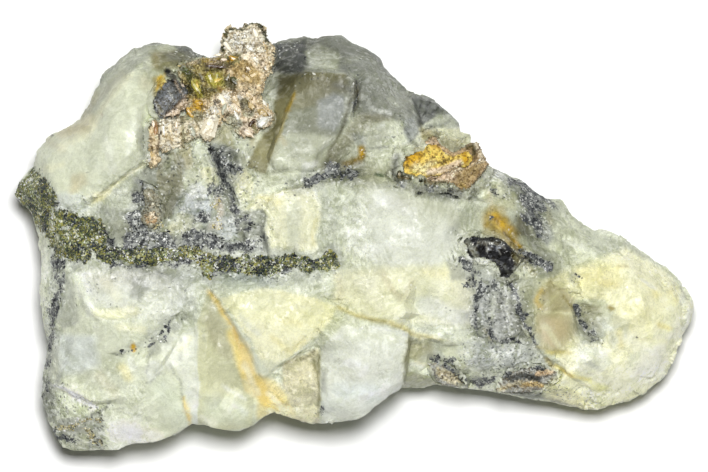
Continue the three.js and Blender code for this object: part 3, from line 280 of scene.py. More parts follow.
# The calcite's colours, painted in this order.
CALCITE_STROKES = [
    # left lobe
    area("lobe", 1.0, 1.5, -43, 4, -38, 14, -30, 26, -18, 25, -25, 8, -33, 3),
    # the bevel along the upper-left rim and the putty lines on it are painted greyer: partly the
    # stone's tone, partly painted shade of the slope down to the rim
    area("bevel", 0.9, 0.6, -34.4, 14.6, -33, 18.8, -29.8, 22.4, -25.4, 24.6, -23.6, 24.2,
         -25.8, 22.2, -27.6, 20.7, -29.8, 19.7, -31, 17.6, -32.4, 15),
    line("putty", 0.8, 0.9, 0.7, -33.8, 15.4, -32.4, 17.6),
    line("putty", 0.5, 1.2, 0.5, -31.2, 18.2, -28.8, 20.2),
    line("beige", 0.9, 1.0, 0.8, -36.4, 13, -34.4, 13.5, -33, 14.6),
    line("khaki", 0.45, 1.0, 0.3, -35.8, 13.3, -33.6, 13.7),
    line("beige", 0.5, 1.2, 0.5, -38.2, 12, -36.6, 11),
    line("cream", 0.55, 0.9, 0.35, -36.4, 11.4, -33.4, 12.9, -31.7, 15.5, -30, 17.8, -27.9, 20.2),
    line("putty", 0.5, 0.5, 0.15, -33.2, 13.6, -31.4, 16.2, -29.4, 18.6),
    line("beige", 0.5, 1.4, 0.8, -25.9, 19.2), line("pale", 0.5, 1.2, 0.6, -31, 12.6, -30.2, 8.6),
    line("pale", 0.5, 1.0, 0.4, -28.2, 10.6, -27.4, 14),
    line("sage", 0.4, 1.0, 0.4, -32.6, 9.6, -30.8, 7),
    line("sage", 0.4, 0.8, 0.3, -34.2, 9.4, -31.8, 9.9),
    line("cream", 0.5, 0.8, 0.3, -38.8, 8.6, -36.4, 9),
    area("grey", 0.6, 0.9, -27, 13.6, -25.5, 13.4, -25.4, 9.8, -26.8, 9.6),
    area("beige", 0.8, 0.9, -35.8, 5, -35, 7.6, -33.2, 8, -33, 6.6, -34.6, 5.6),
    line("khaki", 0.4, 0.9, 0.3, -34.6, 6.4),
    # painted highlight in cream and yellow along the ridge below the lobe
    line("cream", 0.8, 0.5, 0.3, -25.9, 9.5, -27.4, 8.3, -29.4, 6.8, -30.9, 5.6),
    area("yellow", 0.5, 0.7, -32.4, 5.4, -30.2, 5.8, -31, 4.4, -32.4, 3.8),
    line("cream", 0.8, 0.4, 0.25, -32, 5.2, -30.6, 5.5),
    area("blue", 0.6, 0.8, -37.4, 5.4, -33.6, 5.6, -32.8, 3.6, -34, 2.6, -37, 2.6),
    # the face below the ridge is painted greyer: partly its own tone, partly painted shade
    area("sage", 0.85, 0.5, -26.4, 8.8, -28.6, 7, -31, 5, -33, 3.4, -32.4, 1.8, -27.8, 1.8,
         -27, 4.6),
    line("grey", 0.5, 0.8, 0.5, -31.2, 3.6, -29, 2.6),
    line("pale", 0.5, 0.8, 0.4, -29.6, 5.2, -28, 5.6),
    area("olive", 0.85, 0.9, -25.6, 22.6, -24.8, 23.2, -22.3, 23.3, -19.6, 22.3, -20.2, 20.9,
         -24.4, 20.7),
    line("dark_olive", 0.75, 1.0, 0.5, -22.4, 22.4, -20.6, 22.1),
    line("khaki", 0.5, 0.9, 0.4, -24.8, 22.6, -24.6, 21.4),
    area("deep_grey", 0.9, 0.4, -22.6, 24.3, -20.7, 24.3, -18, 22.6, -19.8, 22.5, -22, 23.3),
    line("deep_grey", 0.5, 0.4, 0.2, -32.6, 18.4, -31.2, 20.8, -27.6, 23.7, -24.4, 24.5),
    line("deep_grey", 0.7, 0.4, 0.15, -26.1, 21.6, -25.8, 20.7),
    line("khaki", 0.8, 0.5, 0.4, -24.6, 19.6, -24.6, 17.8),
    line("rust", 0.7, 0.25, 0.12, -31.4, 15.5), line("black", 0.8, 0.2, 0.08, -33.1, 8.2),
    line("black", 0.8, 0.25, 0.12, -38, 12.6, -37.6, 12.7),
    line("rust", 0.3, 0.2, 0.08, -30.7, 10.2),
    # grey ground between the lobe and the middle
    area("mid_grey", 0.9, 0.7, -25.2, 9.6, -24.6, 10.8, -22.4, 10.8, -21.8, 8, -22, 5, -22.6, 2.4,
         -24.4, 2.6, -26.6, 2, -27.8, 3.6, -27.4, 7.4),
    area("deep_grey", 0.6, 0.9, -24.2, 7.6, -22.6, 8, -22.2, 5.6, -22.8, 3, -24, 3.4),
    line("sage", 0.6, 0.5, 0.25, -24.6, 8.6, -23.4, 9.8),
    line("sage", 0.5, 0.5, 0.25, -26.6, 8.2, -26, 7.2),
    area("olive_grey", 0.9, 0.4, -22.6, 9, -21.6, 11.6, -20.3, 11.6, -20.2, 9.6, -21, 8.2),
    line("beige", 0.7, 0.3, 0.15, -20.6, 11.4, -20.2, 10.2),
    area("sage", 0.7, 0.5, -20.2, 11.8, -18.2, 11.8, -17.5, 9.4, -18.4, 8.4, -20.3, 9.2),
    area("lobe", 0.7, 0.6, -22, 8.4, -19.4, 9, -17, 8.6, -16.6, 6.6, -18.2, 6.9, -19.8, 7,
         -21.8, 7),
    area("cream", 0.8, 0.4, -19.5, 8.6, -17.2, 8.5, -17, 7.6, -18.6, 7.5),
    area("blue", 1.0, 0.4, -21.9, 3, -21, 5, -20.4, 6.4, -19.4, 6.8, -18.5, 5.9, -18, 3.6, -19, 2.6,
         -21, 2.4),
    line("white", 0.6, 0.5, 0.35, -20, 5.6, -19.6, 4),
    area("sage", 0.8, 0.5, -22.4, 2.2, -18.7, 2.4, -18.6, 0.8, -21.6, 0.6, -22.6, 1),
    line("cream", 0.9, 0.5, 0.5, -23.2, 0.8, -22.5, 1.5),
    area("grey", 0.7, 0.8, -18.4, 8, -16, 8.4, -15.6, 5, -17.8, 5),
    line("pinkish", 0.8, 0.5, 0.45, -17, 4.6, -16.6, 3),
    line("pinkish", 0.7, 0.5, 0.5, -18, 1.6, -16.8, 1.8),
    area("grey", 0.75, 0.6, -18, 1, -15.4, 1.4, -14.6, -1.4, -18, -1.2),
    line("white", 0.6, 0.4, 0.3, -15.2, 2.4, -14.6, 0.8),
    area("grey", 0.7, 0.4, -24.4, 9, -22.4, 11, -21, 8.4, -21.6, 4.4, -23, 2.6, -24, 4.6),
    line("pale", 0.6, 0.3, 0.1, -22.6, 10.6, -21.4, 7.8, -21.8, 4.8),
    line("deep_grey", 0.6, 0.3, 0.12, -24.2, 8.6, -23, 5.6, -22.6, 3),
    line("cream", 0.6, 0.3, 0.12, -20.4, 9.4, -18.8, 8.2, -17.4, 8.6),
    area("sage", 0.7, 0.4, -13.8, 2.6, -12, 2.2, -10.8, -0.6, -12.2, -1.4, -13.8, -0.4),
    area("bevel", 0.6, 0.3, -17, -1.2, -15.2, 1.4, -14.4, 0.4, -15, -1.4),
    line("pale", 0.6, 0.3, 0.12, -13.6, 2.4, -12.4, 0.6, -11.2, -0.8),
    line("deep_grey", 0.6, 0.3, 0.15, -14.2, 2, -13.8, 0, -14.4, -1.4),
    area("lobe", 0.6, 0.4, -20.6, 2.2, -19, 2.6, -18.6, 1.2, -20.2, 1),
    line("sage", 0.6, 0.4, 0.3, -18.6, 7.6, -17.6, 5.6),
    # left of the window facet
    area("putty", 0.9, 0.6, -18, 12.4, -16.8, 14.6, -14.8, 13.6, -12.6, 14.2, -12, 11.8, -13.6, 9.4,
         -15.8, 11.2),
    area("sage", 0.8, 0.5, -15.4, 13, -13, 12.6, -12.6, 10.6, -13.8, 9.6, -15, 10.8),
    area("deep_grey", 0.85, 0.7, -17.6, 12, -16, 11.4, -14.4, 10.4, -14, 8, -15.6, 7, -16.8, 8),
    area("lobe", 0.9, 0.4, -14.3, 8.5, -12.7, 8.2, -12.5, 5.2, -13.6, 4.6, -14.4, 6.6),
    line("cream", 0.7, 0.4, 0.3, -13.8, 7.9, -13, 7.6),
    line("black", 0.85, 0.3, 0.16, -17.5, 11.4, -17, 9.4, -16.3, 7.4, -15.5, 5.7, -15, 4.6),
    area("mid_grey", 0.8, 0.4, -15.4, 4.4, -13.8, 3.2, -11.4, 3.5, -10.5, 2.5, -11.3, 0.9,
         -10.6, -0.6, -10.4, -2, -12.4, -1.4, -15, -1.4),
    line("sage", 0.6, 0.6, 0.4, -12.6, 0.6, -11.8, 2),
    # middle
    area("cream", 0.75, 0.5, -13.7, 3.4, -12.3, 5.4, -10.6, 5.6, -8.6, 5.9, -5.6, 6.5, -4.1, 4.6,
         -4.5, -1.6, -10.2, -1.6, -11.1, 1, -10.4, 2.6, -11.4, 3.6),
    line("lobe", 0.7, 1.0, 0.9, -7.4, 3.6, -7.6, 0),
    line("yellow", 0.4, 0.4, 0.2, -4.9, 2.2, -4.9, -1),
    line("yellow", 0.35, 0.8, 0.4, -11.6, 5.2, -9.2, 4.2),
    line("white", 0.5, 0.5, 0.25, -5, 6, -4.3, 4.4),
    area("sage", 0.75, 0.6, -4.1, 7.2, 0.3, 7.4, 0.7, 3, -0.4, -1.2, -4.3, -1.6),
    line("grey", 0.35, 0.8, 0.4, -3.4, 4.6, -2.4, 1),
    line("pale", 0.6, 0.6, 0.35, -1.2, 3.8, -0.6, 0.6),
    area("pale", 0.8, 1.0, 0.5, 6.6, 2, 8, 4.8, 7, 9, 5.2, 13, 4.2, 14.2, 0.4, 13, -3, 4, -3.8,
         -0.8, -1.8),
    line("white", 0.6, 1.4, 0.8, 3.6, 4.6, 7, 3.4),
    line("white", 0.5, 1.0, 0.5, 1.6, -1.6, 4.6, -1),
    line("white", 0.5, 0.8, 0.3, 5, 1.2, 7.6, 0.6), line("sage", 0.4, 1.0, 0.4, 2.4, 0.6, 4, -1.8),
    area("cream", 0.75, 1.4, -2, -4.4, 4, -3.6, 12.4, -3.2, 15.4, -6, 14.6, -11, 7, -10.8, 1, -9.8,
         -2.4, -7.6),
    line("ivory", 0.9, 0.9, 0.9, 1.2, -5.6, 3.4, -8.2),
    line("pale", 0.7, 1.2, 1.2, 9, -8.6, 13, -9.8),
    line("beige", 0.75, 0.8, 0.4, 3.6, -4.6, 4.6, -6, 6, -7.8),
    line("beige", 0.6, 0.8, 0.4, 7.2, -5.6, 6.6, -7.4),
    line("khaki", 0.35, 0.6, 0.2, 5, -6.6, 6, -7.4),
    line("beige", 0.5, 1.0, 0.5, -2, -4.6, -1.6, -7),
    area("sage", 0.45, 0.8, -9, -4.8, -3, -4.6, -2.4, -7.4, -6, -7.2, -9, -6.2),
    line("yellow", 0.3, 1.2, 0.6, 9, -4.2, 11, -4.4),
    line("yellow", 0.65, 0.6, 0.3, -1.8, -8.5, 0, -9.6, 2.5, -10.3, 5, -11, 7.5, -12, 12, -13.5),
    line("khaki", 0.6, 0.4, 0.12, 0, -9.7, 1, -9.9, 3.4, -10.6, 4.8, -11.1, 7, -11.9),
    line("olive", 0.6, 0.4, 0.15, -1.5, -8.9),
    # window facet, its left wall and the slab beside it; the olive on the facet's top and on the
    # left wall is partly painted shadow
    area("window", 1.0, 0.4, -7, 20.5, -1.2, 20.5, 0, 19.5, 0, 16, -1, 14, -2.5, 12.5, -4.6, 10.4,
         -5, 8.2, -9.9, 8.2, -10.6, 10, -9.6, 12.5, -8.6, 15, -7.6, 17.5),
    # painted shadow along the sunken facet's top, over its olive tone
    area("olive_grey", 0.9, 1.0, -7.4, 20.6, -0.8, 20.4, -0.1, 17.9, -2.5, 18, -4.4, 16.6,
         -7.9, 15.6),
    area("olive", 0.6, 1.0, -7, 20.6, -1.4, 20.4, -2.4, 18.8, -7, 18.4),
    line("deep_grey", 0.5, 0.9, 0.4, -2.2, 19, -0.6, 18.4),
    area("lilac", 0.85, 0.9, -4.6, 17, -2.6, 17.9, -1, 17.4, -0.8, 14.2, -2.2, 13, -4.4, 13.6),
    area("lobe", 0.75, 1.0, -9.9, 12.3, -8, 13.3, -4.4, 12.6, -2.8, 12.4, -4.8, 10.3, -5.2, 8.3,
         -9.6, 8.3, -10.4, 10),
    line("beige", 0.8, 0.5, 0.35, -9.2, 12.6, -8.8, 11.8),
    line("white", 0.7, 0.5, 0.35, -6.2, 8.9, -4.8, 9.1),
    line("dark_olive", 0.7, 0.5, 0.25, 0.2, 19.6, -0.1, 17, -0.6, 15.6, -1.8, 12.9, -3.2, 10.8),
    line("bevel", 0.6, 0.4, 0.2, -0.8, 17.6, -1, 15.4, -2.2, 13.2),
    line("pale", 0.6, 0.3, 0.12, -6.6, 12.4, -5.6, 11.6),
    line("pale", 0.6, 0.4, 0.2, -4.4, 10.8, -2.6, 12.6),
    line("sage", 0.5, 0.5, 0.2, -8, 12.6, -7, 9.4),
    line("olive", 0.4, 0.4, 0.15, -9.6, 11.8, -10.2, 9.4),
    # painted shadow on the left wall, over its olive tone
    area("olive", 0.95, 0.4, -9.3, 20.2, -7, 20.4, -7.6, 17.5, -8.6, 15, -9.6, 12.5, -10.5, 9.8,
         -10.9, 8.2, -13.5, 8.6, -12.3, 11.2, -11, 13.4, -10.1, 15.4),
    area("dark_olive", 0.55, 0.8, -9.2, 20, -7.4, 20.2, -8.6, 16, -9.8, 13.6, -11, 11.6, -11.4, 13,
         -10, 16),
    line("putty", 0.7, 0.8, 0.5, -12.6, 9.2, -11.4, 8.8),
    line("mustard", 0.9, 0.35, 0.22, -7.3, 18.3, -7.9, 16.6, -8.4, 15.5),
    line("khaki", 0.8, 0.3, 0.18, -8.5, 15.2, -9.2, 13.6, -9.9, 12),
    line("beige", 0.6, 0.3, 0.12, -9.9, 13.3, -9.4, 13.8),
    area("bevel", 0.9, 0.4, -12, 17.2, -10.7, 19.5, -9.5, 20.2, -9.3, 18.6, -10.2, 15.4, -11, 13.9,
         -12.2, 15.4),
    line("olive_grey", 0.6, 0.6, 0.35, -11.4, 15, -10.4, 14.6),
    line("pale", 0.5, 0.5, 0.2, -11.2, 18, -10.6, 16.4),
    # top and the slope to the right
    area("mid_grey", 1.0, 0.6, -10.8, 20.8, -10.4, 24.6, -6, 25.9, 0, 25.4, 4.4, 22, 8.4, 17,
         8.2, 13.6, 6.6, 12.6, 4.8, 14.8, 1.4, 14.6, 0.4, 16, 0.2, 20.2, -1.6, 20.9, -6.2, 20.9),
    area("dark_grey", 0.9, 0.7, -10.8, 20.4, -10.4, 24.2, -8.4, 24.4, -6, 24.4, -5.9, 22.6,
         -6.4, 20.6, -8, 20.4),
    line("grey", 0.8, 0.5, 0.3, -9.4, 24.5, -6.6, 25.1, -5.4, 24.8),
    line("dark_grey", 0.7, 0.5, 0.25, -6.2, 24.6, -5.8, 23.4),
    area("bevel", 1.0, 0.5, -5.8, 20.9, -5.9, 23.2, -4.6, 24.3, -3.4, 23.7, -1.9, 22.7, -1.8, 20.9),
    area("pale", 0.6, 0.3, -5.6, 21, -5.4, 22.6, -4.2, 23.6, -3, 23, -2.6, 21.2),
    line("white", 0.7, 0.25, 0.1, -5.7, 21.2, -5.4, 23.2, -4.4, 24),
    line("lobe", 0.7, 0.5, 0.35, -4, 21.4, -2.4, 21.3),
    line("grey", 0.7, 0.7, 0.4, -3, 24.7, -1, 24.7, 0.6, 23.6),
    area("grey", 0.8, 0.8, -1.4, 23.2, 1.4, 23, 2.8, 21.8, 1.6, 20.8, -1.4, 20.9),
    line("bevel", 0.6, 0.6, 0.4, -0.8, 22, 0.6, 22.4),
    line("dark_grey", 0.6, 0.5, 0.25, 1.8, 23.5, 3.4, 22, 4, 20.9, 6.6, 18.6),
    area("grey", 0.7, 0.6, 0.9, 20, 2.8, 19.8, 3, 17.8, 1.4, 17),
    # painted shadow under the edge of the pale ground above the window facet
    line("olive", 0.8, 0.4, 0.25, -6, 20.5, -3.6, 20.4, -1.4, 20.3),
    line("bevel", 0.7, 0.3, 0.15, -5.6, 20.8, -1.8, 20.8),
    line("dark_olive", 0.9, 0.4, 0.3, 0.3, 19.4, 0.4, 17.6, 0.3, 16),
    line("mustard", 0.5, 0.3, 0.1, 0.6, 19, 0.7, 17.4),
    line("white", 0.8, 0.4, 0.16, 2.2, 16.1, 3.4, 15.9, 4.6, 15.7),
    line("bevel", 0.7, 0.4, 0.2, 4.2, 17.4, 5.2, 16.6),
    area("olive_grey", 0.7, 0.7, 0.8, 15.6, 4.6, 15.2, 4.4, 14.4, 2.4, 14.2, 0.6, 12.4, -2.8, 9.4,
         -3.6, 10.4, -1.4, 12.8),
    area("lobe", 0.8, 0.6, 2.2, 13.8, 3.8, 14.6, 6, 14.6, 6.8, 12.8, 5.8, 11.4, 2, 11.2, 1.4, 12.4),
    line("pale", 0.8, 0.5, 0.3, 3, 13.6, 3.6, 14),
    line("pale", 0.6, 0.5, 0.25, 2.4, 12.2, 4.6, 12.4),
    area("lilac", 0.8, 0.6, 6.2, 15, 7.8, 15.4, 8.3, 13, 7.2, 11.8, 6.2, 12.8),
    line("dark_grey", 0.6, 0.4, 0.2, 6.3, 13.6, 7.2, 12.2, 8, 11.6),
    area("lilac", 0.6, 0.6, -0.4, 12.8, 1.2, 12.8, 1.6, 10.6, 0.4, 11.4),
    area("lobe", 0.8, 0.5, 1.4, 10.8, 4.7, 11.2, 4.8, 8.4, 3.4, 6.8, 1, 7.6),
    line("deep_grey", 0.6, 0.25, 0.1, 1.9, 11.2, 3, 11.4, 4.8, 11.3),
    area("olive_grey", 0.8, 0.7, -4.2, 8, -3.4, 10.4, -1.6, 9.8, 0, 9.4, 0.2, 8),
    # painted shadow beside and under the curled leaf, in deep grey
    line("deep_grey", 0.85, 0.7, 0.4, 5.2, 10, 4.9, 8.4, 5.2, 7, 6.2, 6.5),
    area("deep_grey", 0.85, 0.7, 6.4, 6.8, 9.4, 6.6, 13.6, 5.8, 13.6, 4.6, 11, 4.8, 8, 5.6),
    line("mustard", 1.0, 0.6, 0.5, 0.8, 11, 0.9, 10.4, 0.4, 9.6, -1, 9.2),
    line("bright_ochre", 1.0, 0.3, 0.25, 0.8, 10.9, 0.8, 10.3),
    line("green", 0.9, 0.3, 0.2, 3, 8.1, 3.8, 7.9),
    # round the knob
    area("pale_ochre", 1.0, 0.25, -24.7, 18.2, -24.3, 20, -23.3, 20.4, -23.1, 18.8),
    line("bright_ochre", 0.8, 0.3, 0.2, -24.4, 18.6, -23.8, 20),
    line("black", 1.0, 0.25, 0.4, -23.1, 20.7, -22.3, 20),
    line("deep_grey", 0.8, 0.3, 0.15, -25.4, 24.1, -23.6, 24.6, -21.4, 23.9, -19.6, 23.3,
         -18.4, 22.4),
    line("dark_olive", 0.5, 0.6, 0.3, -23.8, 22.4, -21.6, 23.4, -20, 22.8),
    line("pale", 0.8, 0.3, 0.2, -26, 21, -25.3, 20.7),
    # facets of the grey ground between the vein and the silver
    area("olive_grey", 0.8, 0.18, -23.1, 11, -22.1, 10.5, -21.4, 8.7, -21.2, 6.4, -22.2, 4.1,
         -22.9, 2.5, -23.8, 2.5, -24.2, 4.8, -24.5, 7.1, -24.4, 9.4),
    area("bevel", 0.6, 0.3, -24.2, 10.4, -22.6, 10.4, -22.2, 8.4, -23.6, 7.6),
    line("pale", 0.6, 0.2, 0.08, -22.6, 9.6, -21.9, 7.6),
    area("beige", 0.7, 0.18, -22.1, 11.4, -20.6, 11.4, -19.9, 8.7, -20.7, 8.5, -21.4, 9.9),
    area("lobe", 0.7, 0.18, -19.7, 11, -18.1, 11.5, -16.9, 8.7, -19, 8.5, -20.1, 8.7),
    area("cream", 0.75, 0.18, -19.1, 8.6, -17, 8.6, -17, 6.4, -18, 6.2, -19.1, 7.2),
    line("grey", 0.6, 0.2, 0.1, -20.2, 8.8, -19.2, 8.4, -19.2, 7),
    area("white", 0.9, 0.15, -20.9, 6.3, -19.7, 6.6, -18.5, 6.1, -18.6, 4.8, -19.7, 3.8, -20.8, 2.8,
         -21.8, 3.1, -21.4, 4.3),
    line("blue", 0.6, 0.3, 0.2, -19.6, 6, -19.6, 4.6, -20.8, 3.6),
    line("deep_grey", 0.6, 0.2, 0.12, -21.9, 3.6, -21.2, 5.8),
    area("cream", 0.7, 0.2, -22.1, 2.9, -19, 2.5, -19.2, 0.9, -21.5, 0.2, -22.2, 1.2),
    line("deep_grey", 0.6, 0.2, 0.1, -20.4, 2.6, -20.2, 0.8),
    area("cream", 0.7, 0.2, -15.8, 8.4, -13.4, 8.4, -12.4, 6.6, -13, 4.8, -14.4, 4.6, -15, 6.4),
    line("white", 0.6, 0.2, 0.12, -14.8, 7.6, -13.4, 5.6),
    area("blue", 0.7, 0.2, -17.2, 2.4, -15.4, 2.6, -14.4, 0.4, -14.8, -1.8, -16, -1.4, -16.8, 0.2),
    line("white", 0.7, 0.2, 0.1, -16.2, 2, -15.2, -0.6),
    area("grey", 0.7, 0.2, -13.2, 1.6, -11.6, 1.8, -10.3, -0.4, -10.4, -2.2, -13, -2, -13.8, 0),
    line("dark_grey", 0.6, 0.2, 0.12, -13.4, 2.2, -13.8, 0.2, -13.2, -1.6),
    area("pale", 0.6, 0.3, 24.8, 4.4, 27, 3.6, 29.4, 1, 28.4, -1.6, 25.8, -1, 25, 1.6),
    line("white", 0.6, 0.3, 0.15, 25.6, 3, 26.4, 1),
    line("white", 0.6, 0.3, 0.15, 26.6, -1.2, 29.4, -2.2),
    area("lobe", 0.5, 0.5, 30, 0.4, 34, -0.8, 36.4, -2.6, 33, -3.2, 30, -2.6),
    # low blocks at the upper right rim
    area("shelf", 1.0, 0.3, 6.7, 18.6, 9.9, 17.8, 12.4, 15.5, 10.3, 15, 8.2, 13.9, 7.6, 16),
    line("black", 0.95, 0.2, 0.14, 9.5, 17.4, 9.1, 16.2, 8.8, 14.8),
    line("black", 0.95, 0.2, 0.14, 11.2, 16.4, 10.3, 15.5),
    line("black", 0.8, 0.2, 0.1, 8, 17.6, 7.6, 16.4, 8.6, 14),
    line("black", 0.8, 0.2, 0.1, 12.2, 15.6, 10.8, 15),
    line("black", 0.7, 0.3, 0.15, 7.2, 18.2, 8.6, 17.8),
    line("mid_grey", 0.8, 0.2, 0.1, 9, 17.4, 8.6, 15.4),
    line("grey", 0.5, 0.4, 0.15, 9.8, 17.2, 10.4, 16.6),
    area("bevel", 0.9, 0.4, 8.4, 14, 10.6, 15.3, 12.2, 15.6, 13.3, 14, 12.4, 13.6, 9, 13.6),
    line("dark_grey", 0.8, 0.3, 0.15, 12.4, 15.2, 13.2, 14, 12.8, 13.4),
    line("deep_grey", 0.6, 0.3, 0.15, 9, 14, 11, 14, 12, 14.6),
    area("khaki", 0.8, 0.5, 8.3, 13.8, 10, 13.4, 10.4, 12.2, 8.6, 12.2),
    area("cream_sage", 1.0, 0.3, 9.6, 13.7, 13.2, 13.6, 14.9, 13.2, 14.8, 11.2, 12.4, 11.8,
         10.2, 12.6),
    area("olive", 0.8, 0.4, 10.4, 12.4, 12.8, 12, 13.9, 11, 12.4, 10.6, 10.8, 11.4),
    line("beige", 0.7, 0.3, 0.15, 11.4, 12.3, 13.8, 11.9),
    # lower left
    area("pale", 0.8, 1.0, -35.2, -3.2, -29, -3.8, -20, -4.4, -19.8, -9, -24, -10.4, -28, -10,
         -33, -9.8, -34.8, -6.4),
    line("white", 0.7, 0.6, 0.4, -33.8, -4.6, -33, -6.6),
    line("white", 0.7, 0.4, 0.3, -33, -8.4, -32.4, -9),
    line("cream", 0.7, 0.8, 0.6, -32, -9.4, -29.6, -9.4, -27.2, -9),
    line("cream", 0.4, 1.2, 0.6, -31, -5.4, -29.4, -7.4),
    area("grey", 0.7, 0.7, -27.9, -5, -26.2, -4.8, -25.4, -6.2, -26.6, -8, -27.8, -7.4),
    line("grey", 0.5, 0.7, 0.3, -33.8, -7.4, -33.2, -9.2, -31.8, -10.2),
    area("bevel", 0.7, 0.6, -21.4, -7.2, -19.6, -7.4, -19.4, -10.6, -22.6, -11.8, -22.4, -10),
    line("white", 0.6, 0.5, 0.25, -21, -7.4, -22.4, -9.8),
    area("lobe", 0.8, 1.0, -35.4, -10.6, -28, -10.6, -26, -13, -27, -18.4, -31.6, -20, -37.8, -18,
         -37, -13),
    area("blue", 0.7, 1.4, -37, -12, -32, -12.4, -31.6, -16, -36.8, -17.4),
    area("grey", 0.6, 0.8, -37, -7.4, -34.8, -7, -34.2, -10.4, -36.8, -11.8),
    line("yellow", 0.55, 0.9, 0.5, -29, -16.2, -28, -17.6),
    line("cream", 0.6, 0.8, 0.5, -29, -11, -26.4, -11.4),
    line("pale", 0.7, 0.6, 0.5, -28.4, -14.4, -27.6, -16),
    line("beige", 0.4, 1.0, 0.6, -31.6, -17.4, -30, -19.4),
    area("mid_grey", 0.6, 0.6, -25.4, -12.6, -23.6, -12, -22.4, -12.6, -24.4, -14.4, -25.8, -14.8),
    line("grey", 0.6, 0.5, 0.4, -22.4, -11.4, -21.4, -10.2),
    line("white", 0.9, 0.3, 0.18, -37.6, -18.4, -35.4, -19.4, -33.2, -20.4, -32.4, -20.9),
    area("sage", 0.9, 0.4, -38.2, -18.8, -35.2, -19.8, -32.8, -20.9, -33, -22.2, -35.6, -23.2,
         -37.4, -23.8, -38.9, -21.4),
    area("mid_grey", 0.85, 0.6, -39.4, -16, -38.2, -17.6, -37.4, -19.6, -37.4, -23.4, -38.8, -22.8,
         -39.6, -19),
    area("bevel", 0.8, 0.6, -38, -23.6, -33, -22.6, -31.6, -23.4, -31, -26.8, -36.8, -26.8),
    line("mid_grey", 0.7, 0.4, 0.15, -32.6, -21.9, -31.4, -21.4, -30.6, -20.4),
    area("pale", 0.6, 1.0, -31, -22.4, -26, -21.8, -25, -26, -30.4, -26.4),
    line("bright_ochre", 1.0, 0.3, 0.3, -27.5, -13.6, -27.5, -14),
    line("mid_grey", 0.7, 0.3, 0.12, -30, -14.5, -29, -14.8),
    line("black", 0.6, 0.2, 0.08, -25.8, -17.9),
    line("grey", 0.5, 0.6, 0.3, -37.2, -18, -36.4, -18.4),
    area("grey", 0.75, 0.5, -37.8, -23.2, -34, -22.2, -31.6, -22.2, -31, -24, -31.6, -26.4,
         -33.4, -26.4, -33, -24.4, -37, -24.8),
    line("dark_grey", 0.7, 0.3, 0.15, -33.4, -22.2, -31.8, -21.8, -31, -21),
    line("bevel", 0.7, 0.8, 0.6, -36.6, -20.6, -34, -22),
    line("white", 0.8, 0.3, 0.14, -38, -18.3, -36, -18.9, -34, -20.1, -32.6, -21),
    # left side: the pale strip along the rim and the dark band beside it
    area("lobe", 0.9, 0.5, -40, 1.6, -38.2, -0.4, -37.6, -3, -37.8, -7, -38.8, -11.6, -40, -8),
    line("pale", 0.5, 0.6, 0.3, -38.6, -1.4, -38.6, -5),
    # bright facets left of the ridge
    area("lobe", 0.9, 0.4, -26.4, -25.6, -26.2, -18.4, -24, -16.4, -22.6, -16.2, -21, -19.6,
         -20.4, -23.4, -22.4, -24.8),
    area("pale", 0.9, 0.4, -26.2, -16.4, -25.4, -17.8, -24, -16.4, -24.2, -15, -25.4, -14.9),
    area("pale", 0.8, 0.4, -24.2, -13.4, -23.8, -15.6, -23.2, -16.4, -22.6, -15.9, -21.4, -18,
         -20.2, -22, -19.3, -23.6, -19.4, -10.9, -21.2, -11.4, -21.8, -13.2),
    area("pale", 0.7, 0.5, -24.2, -13.2, -22.6, -12, -19.6, -11.2, -19.5, -23.6, -20.2, -23.8,
         -20.8, -20, -22, -16.6, -23, -15.2),
    area("sage", 0.7, 0.3, -21.4, -10.6, -19.8, -10.4, -19.8, -11.6, -22, -12.2),
    line("grey", 0.7, 0.25, 0.1, -24.2, -12.6, -25.6, -14.6, -25.9, -16.6),
    line("ochre", 0.8, 0.4, 0.15, -21.2, -19.8, -20.7, -21.6, -20.4, -23.4),
    line("grey", 0.6, 0.25, 0.1, -23.2, -15.6, -21.6, -18.4, -20.9, -21.6),
    line("grey", 0.5, 0.4, 0.2, -21.6, -12.6, -21.6, -15.6),
    line("cream", 0.6, 0.6, 0.3, -21.8, -13.8, -20.4, -12.4),
    line("ochre", 0.55, 0.8, 0.25, -20.5, -22.4, -20.7, -20.6),
    line("grey", 0.5, 0.3, 0.12, -24.2, -16.6, -25.4, -17.9),
    # beige hollow and the ochre streak
    area("cream_sage", 1.0, 0.3, -19.4, -10.6, -18.4, -6.8, -17.4, -7.6, -15.8, -10.8, -14.6, -13.6,
         -13.2, -17, -12.4, -20, -12.9, -23.8, -16, -24.4, -19.4, -23.6),
    area("putty", 0.6, 0.8, -18.7, -10.6, -17.8, -8, -15.8, -11.8, -14.8, -14.6, -15.4, -15.6,
         -17.2, -14),
    area("lobe", 0.6, 1.4, -18.8, -20, -14, -19.4, -13.4, -23.6, -18.6, -23.6),
    line("ivory", 0.6, 0.7, 0.4, -18.9, -22.4, -17.4, -23.4),
    line("white", 0.5, 0.5, 0.2, -16, -18.6, -13.6, -20.2),
    line("pale", 0.6, 0.8, 0.4, -15, -21, -13.6, -22),
    line("grey", 0.4, 0.4, 0.15, -18.8, -11.4, -18.4, -13),
    area("cream", 1.0, 0.4, -16.9, -7.6, -15, -6.9, -11, -6.2, -5, -7.4, -2, -8.2, -3.3, -10.5,
         -5, -12.6, -8, -14.8, -10.4, -16.4, -12.3, -14, -14.4, -10.6),
    line("ivory", 0.7, 1.2, 0.7, -13, -8.4, -9, -8.2),
    line("ivory", 0.6, 0.7, 0.4, -7.4, -8.4, -4, -9),
    line("pale", 0.6, 0.8, 0.4, -14, -9.6, -12, -12),
    line("yellow", 0.45, 0.8, 0.35, -10, -12.4, -7.8, -14.2, -6.2, -12.8),
    line("yellow", 0.3, 0.8, 0.4, -9, -10.4, -6.6, -10.8),
    area("lobe", 0.7, 0.6, -11.4, -15, -9.4, -15.4, -7, -14.8, -8.2, -17.8, -10.6, -17.6),
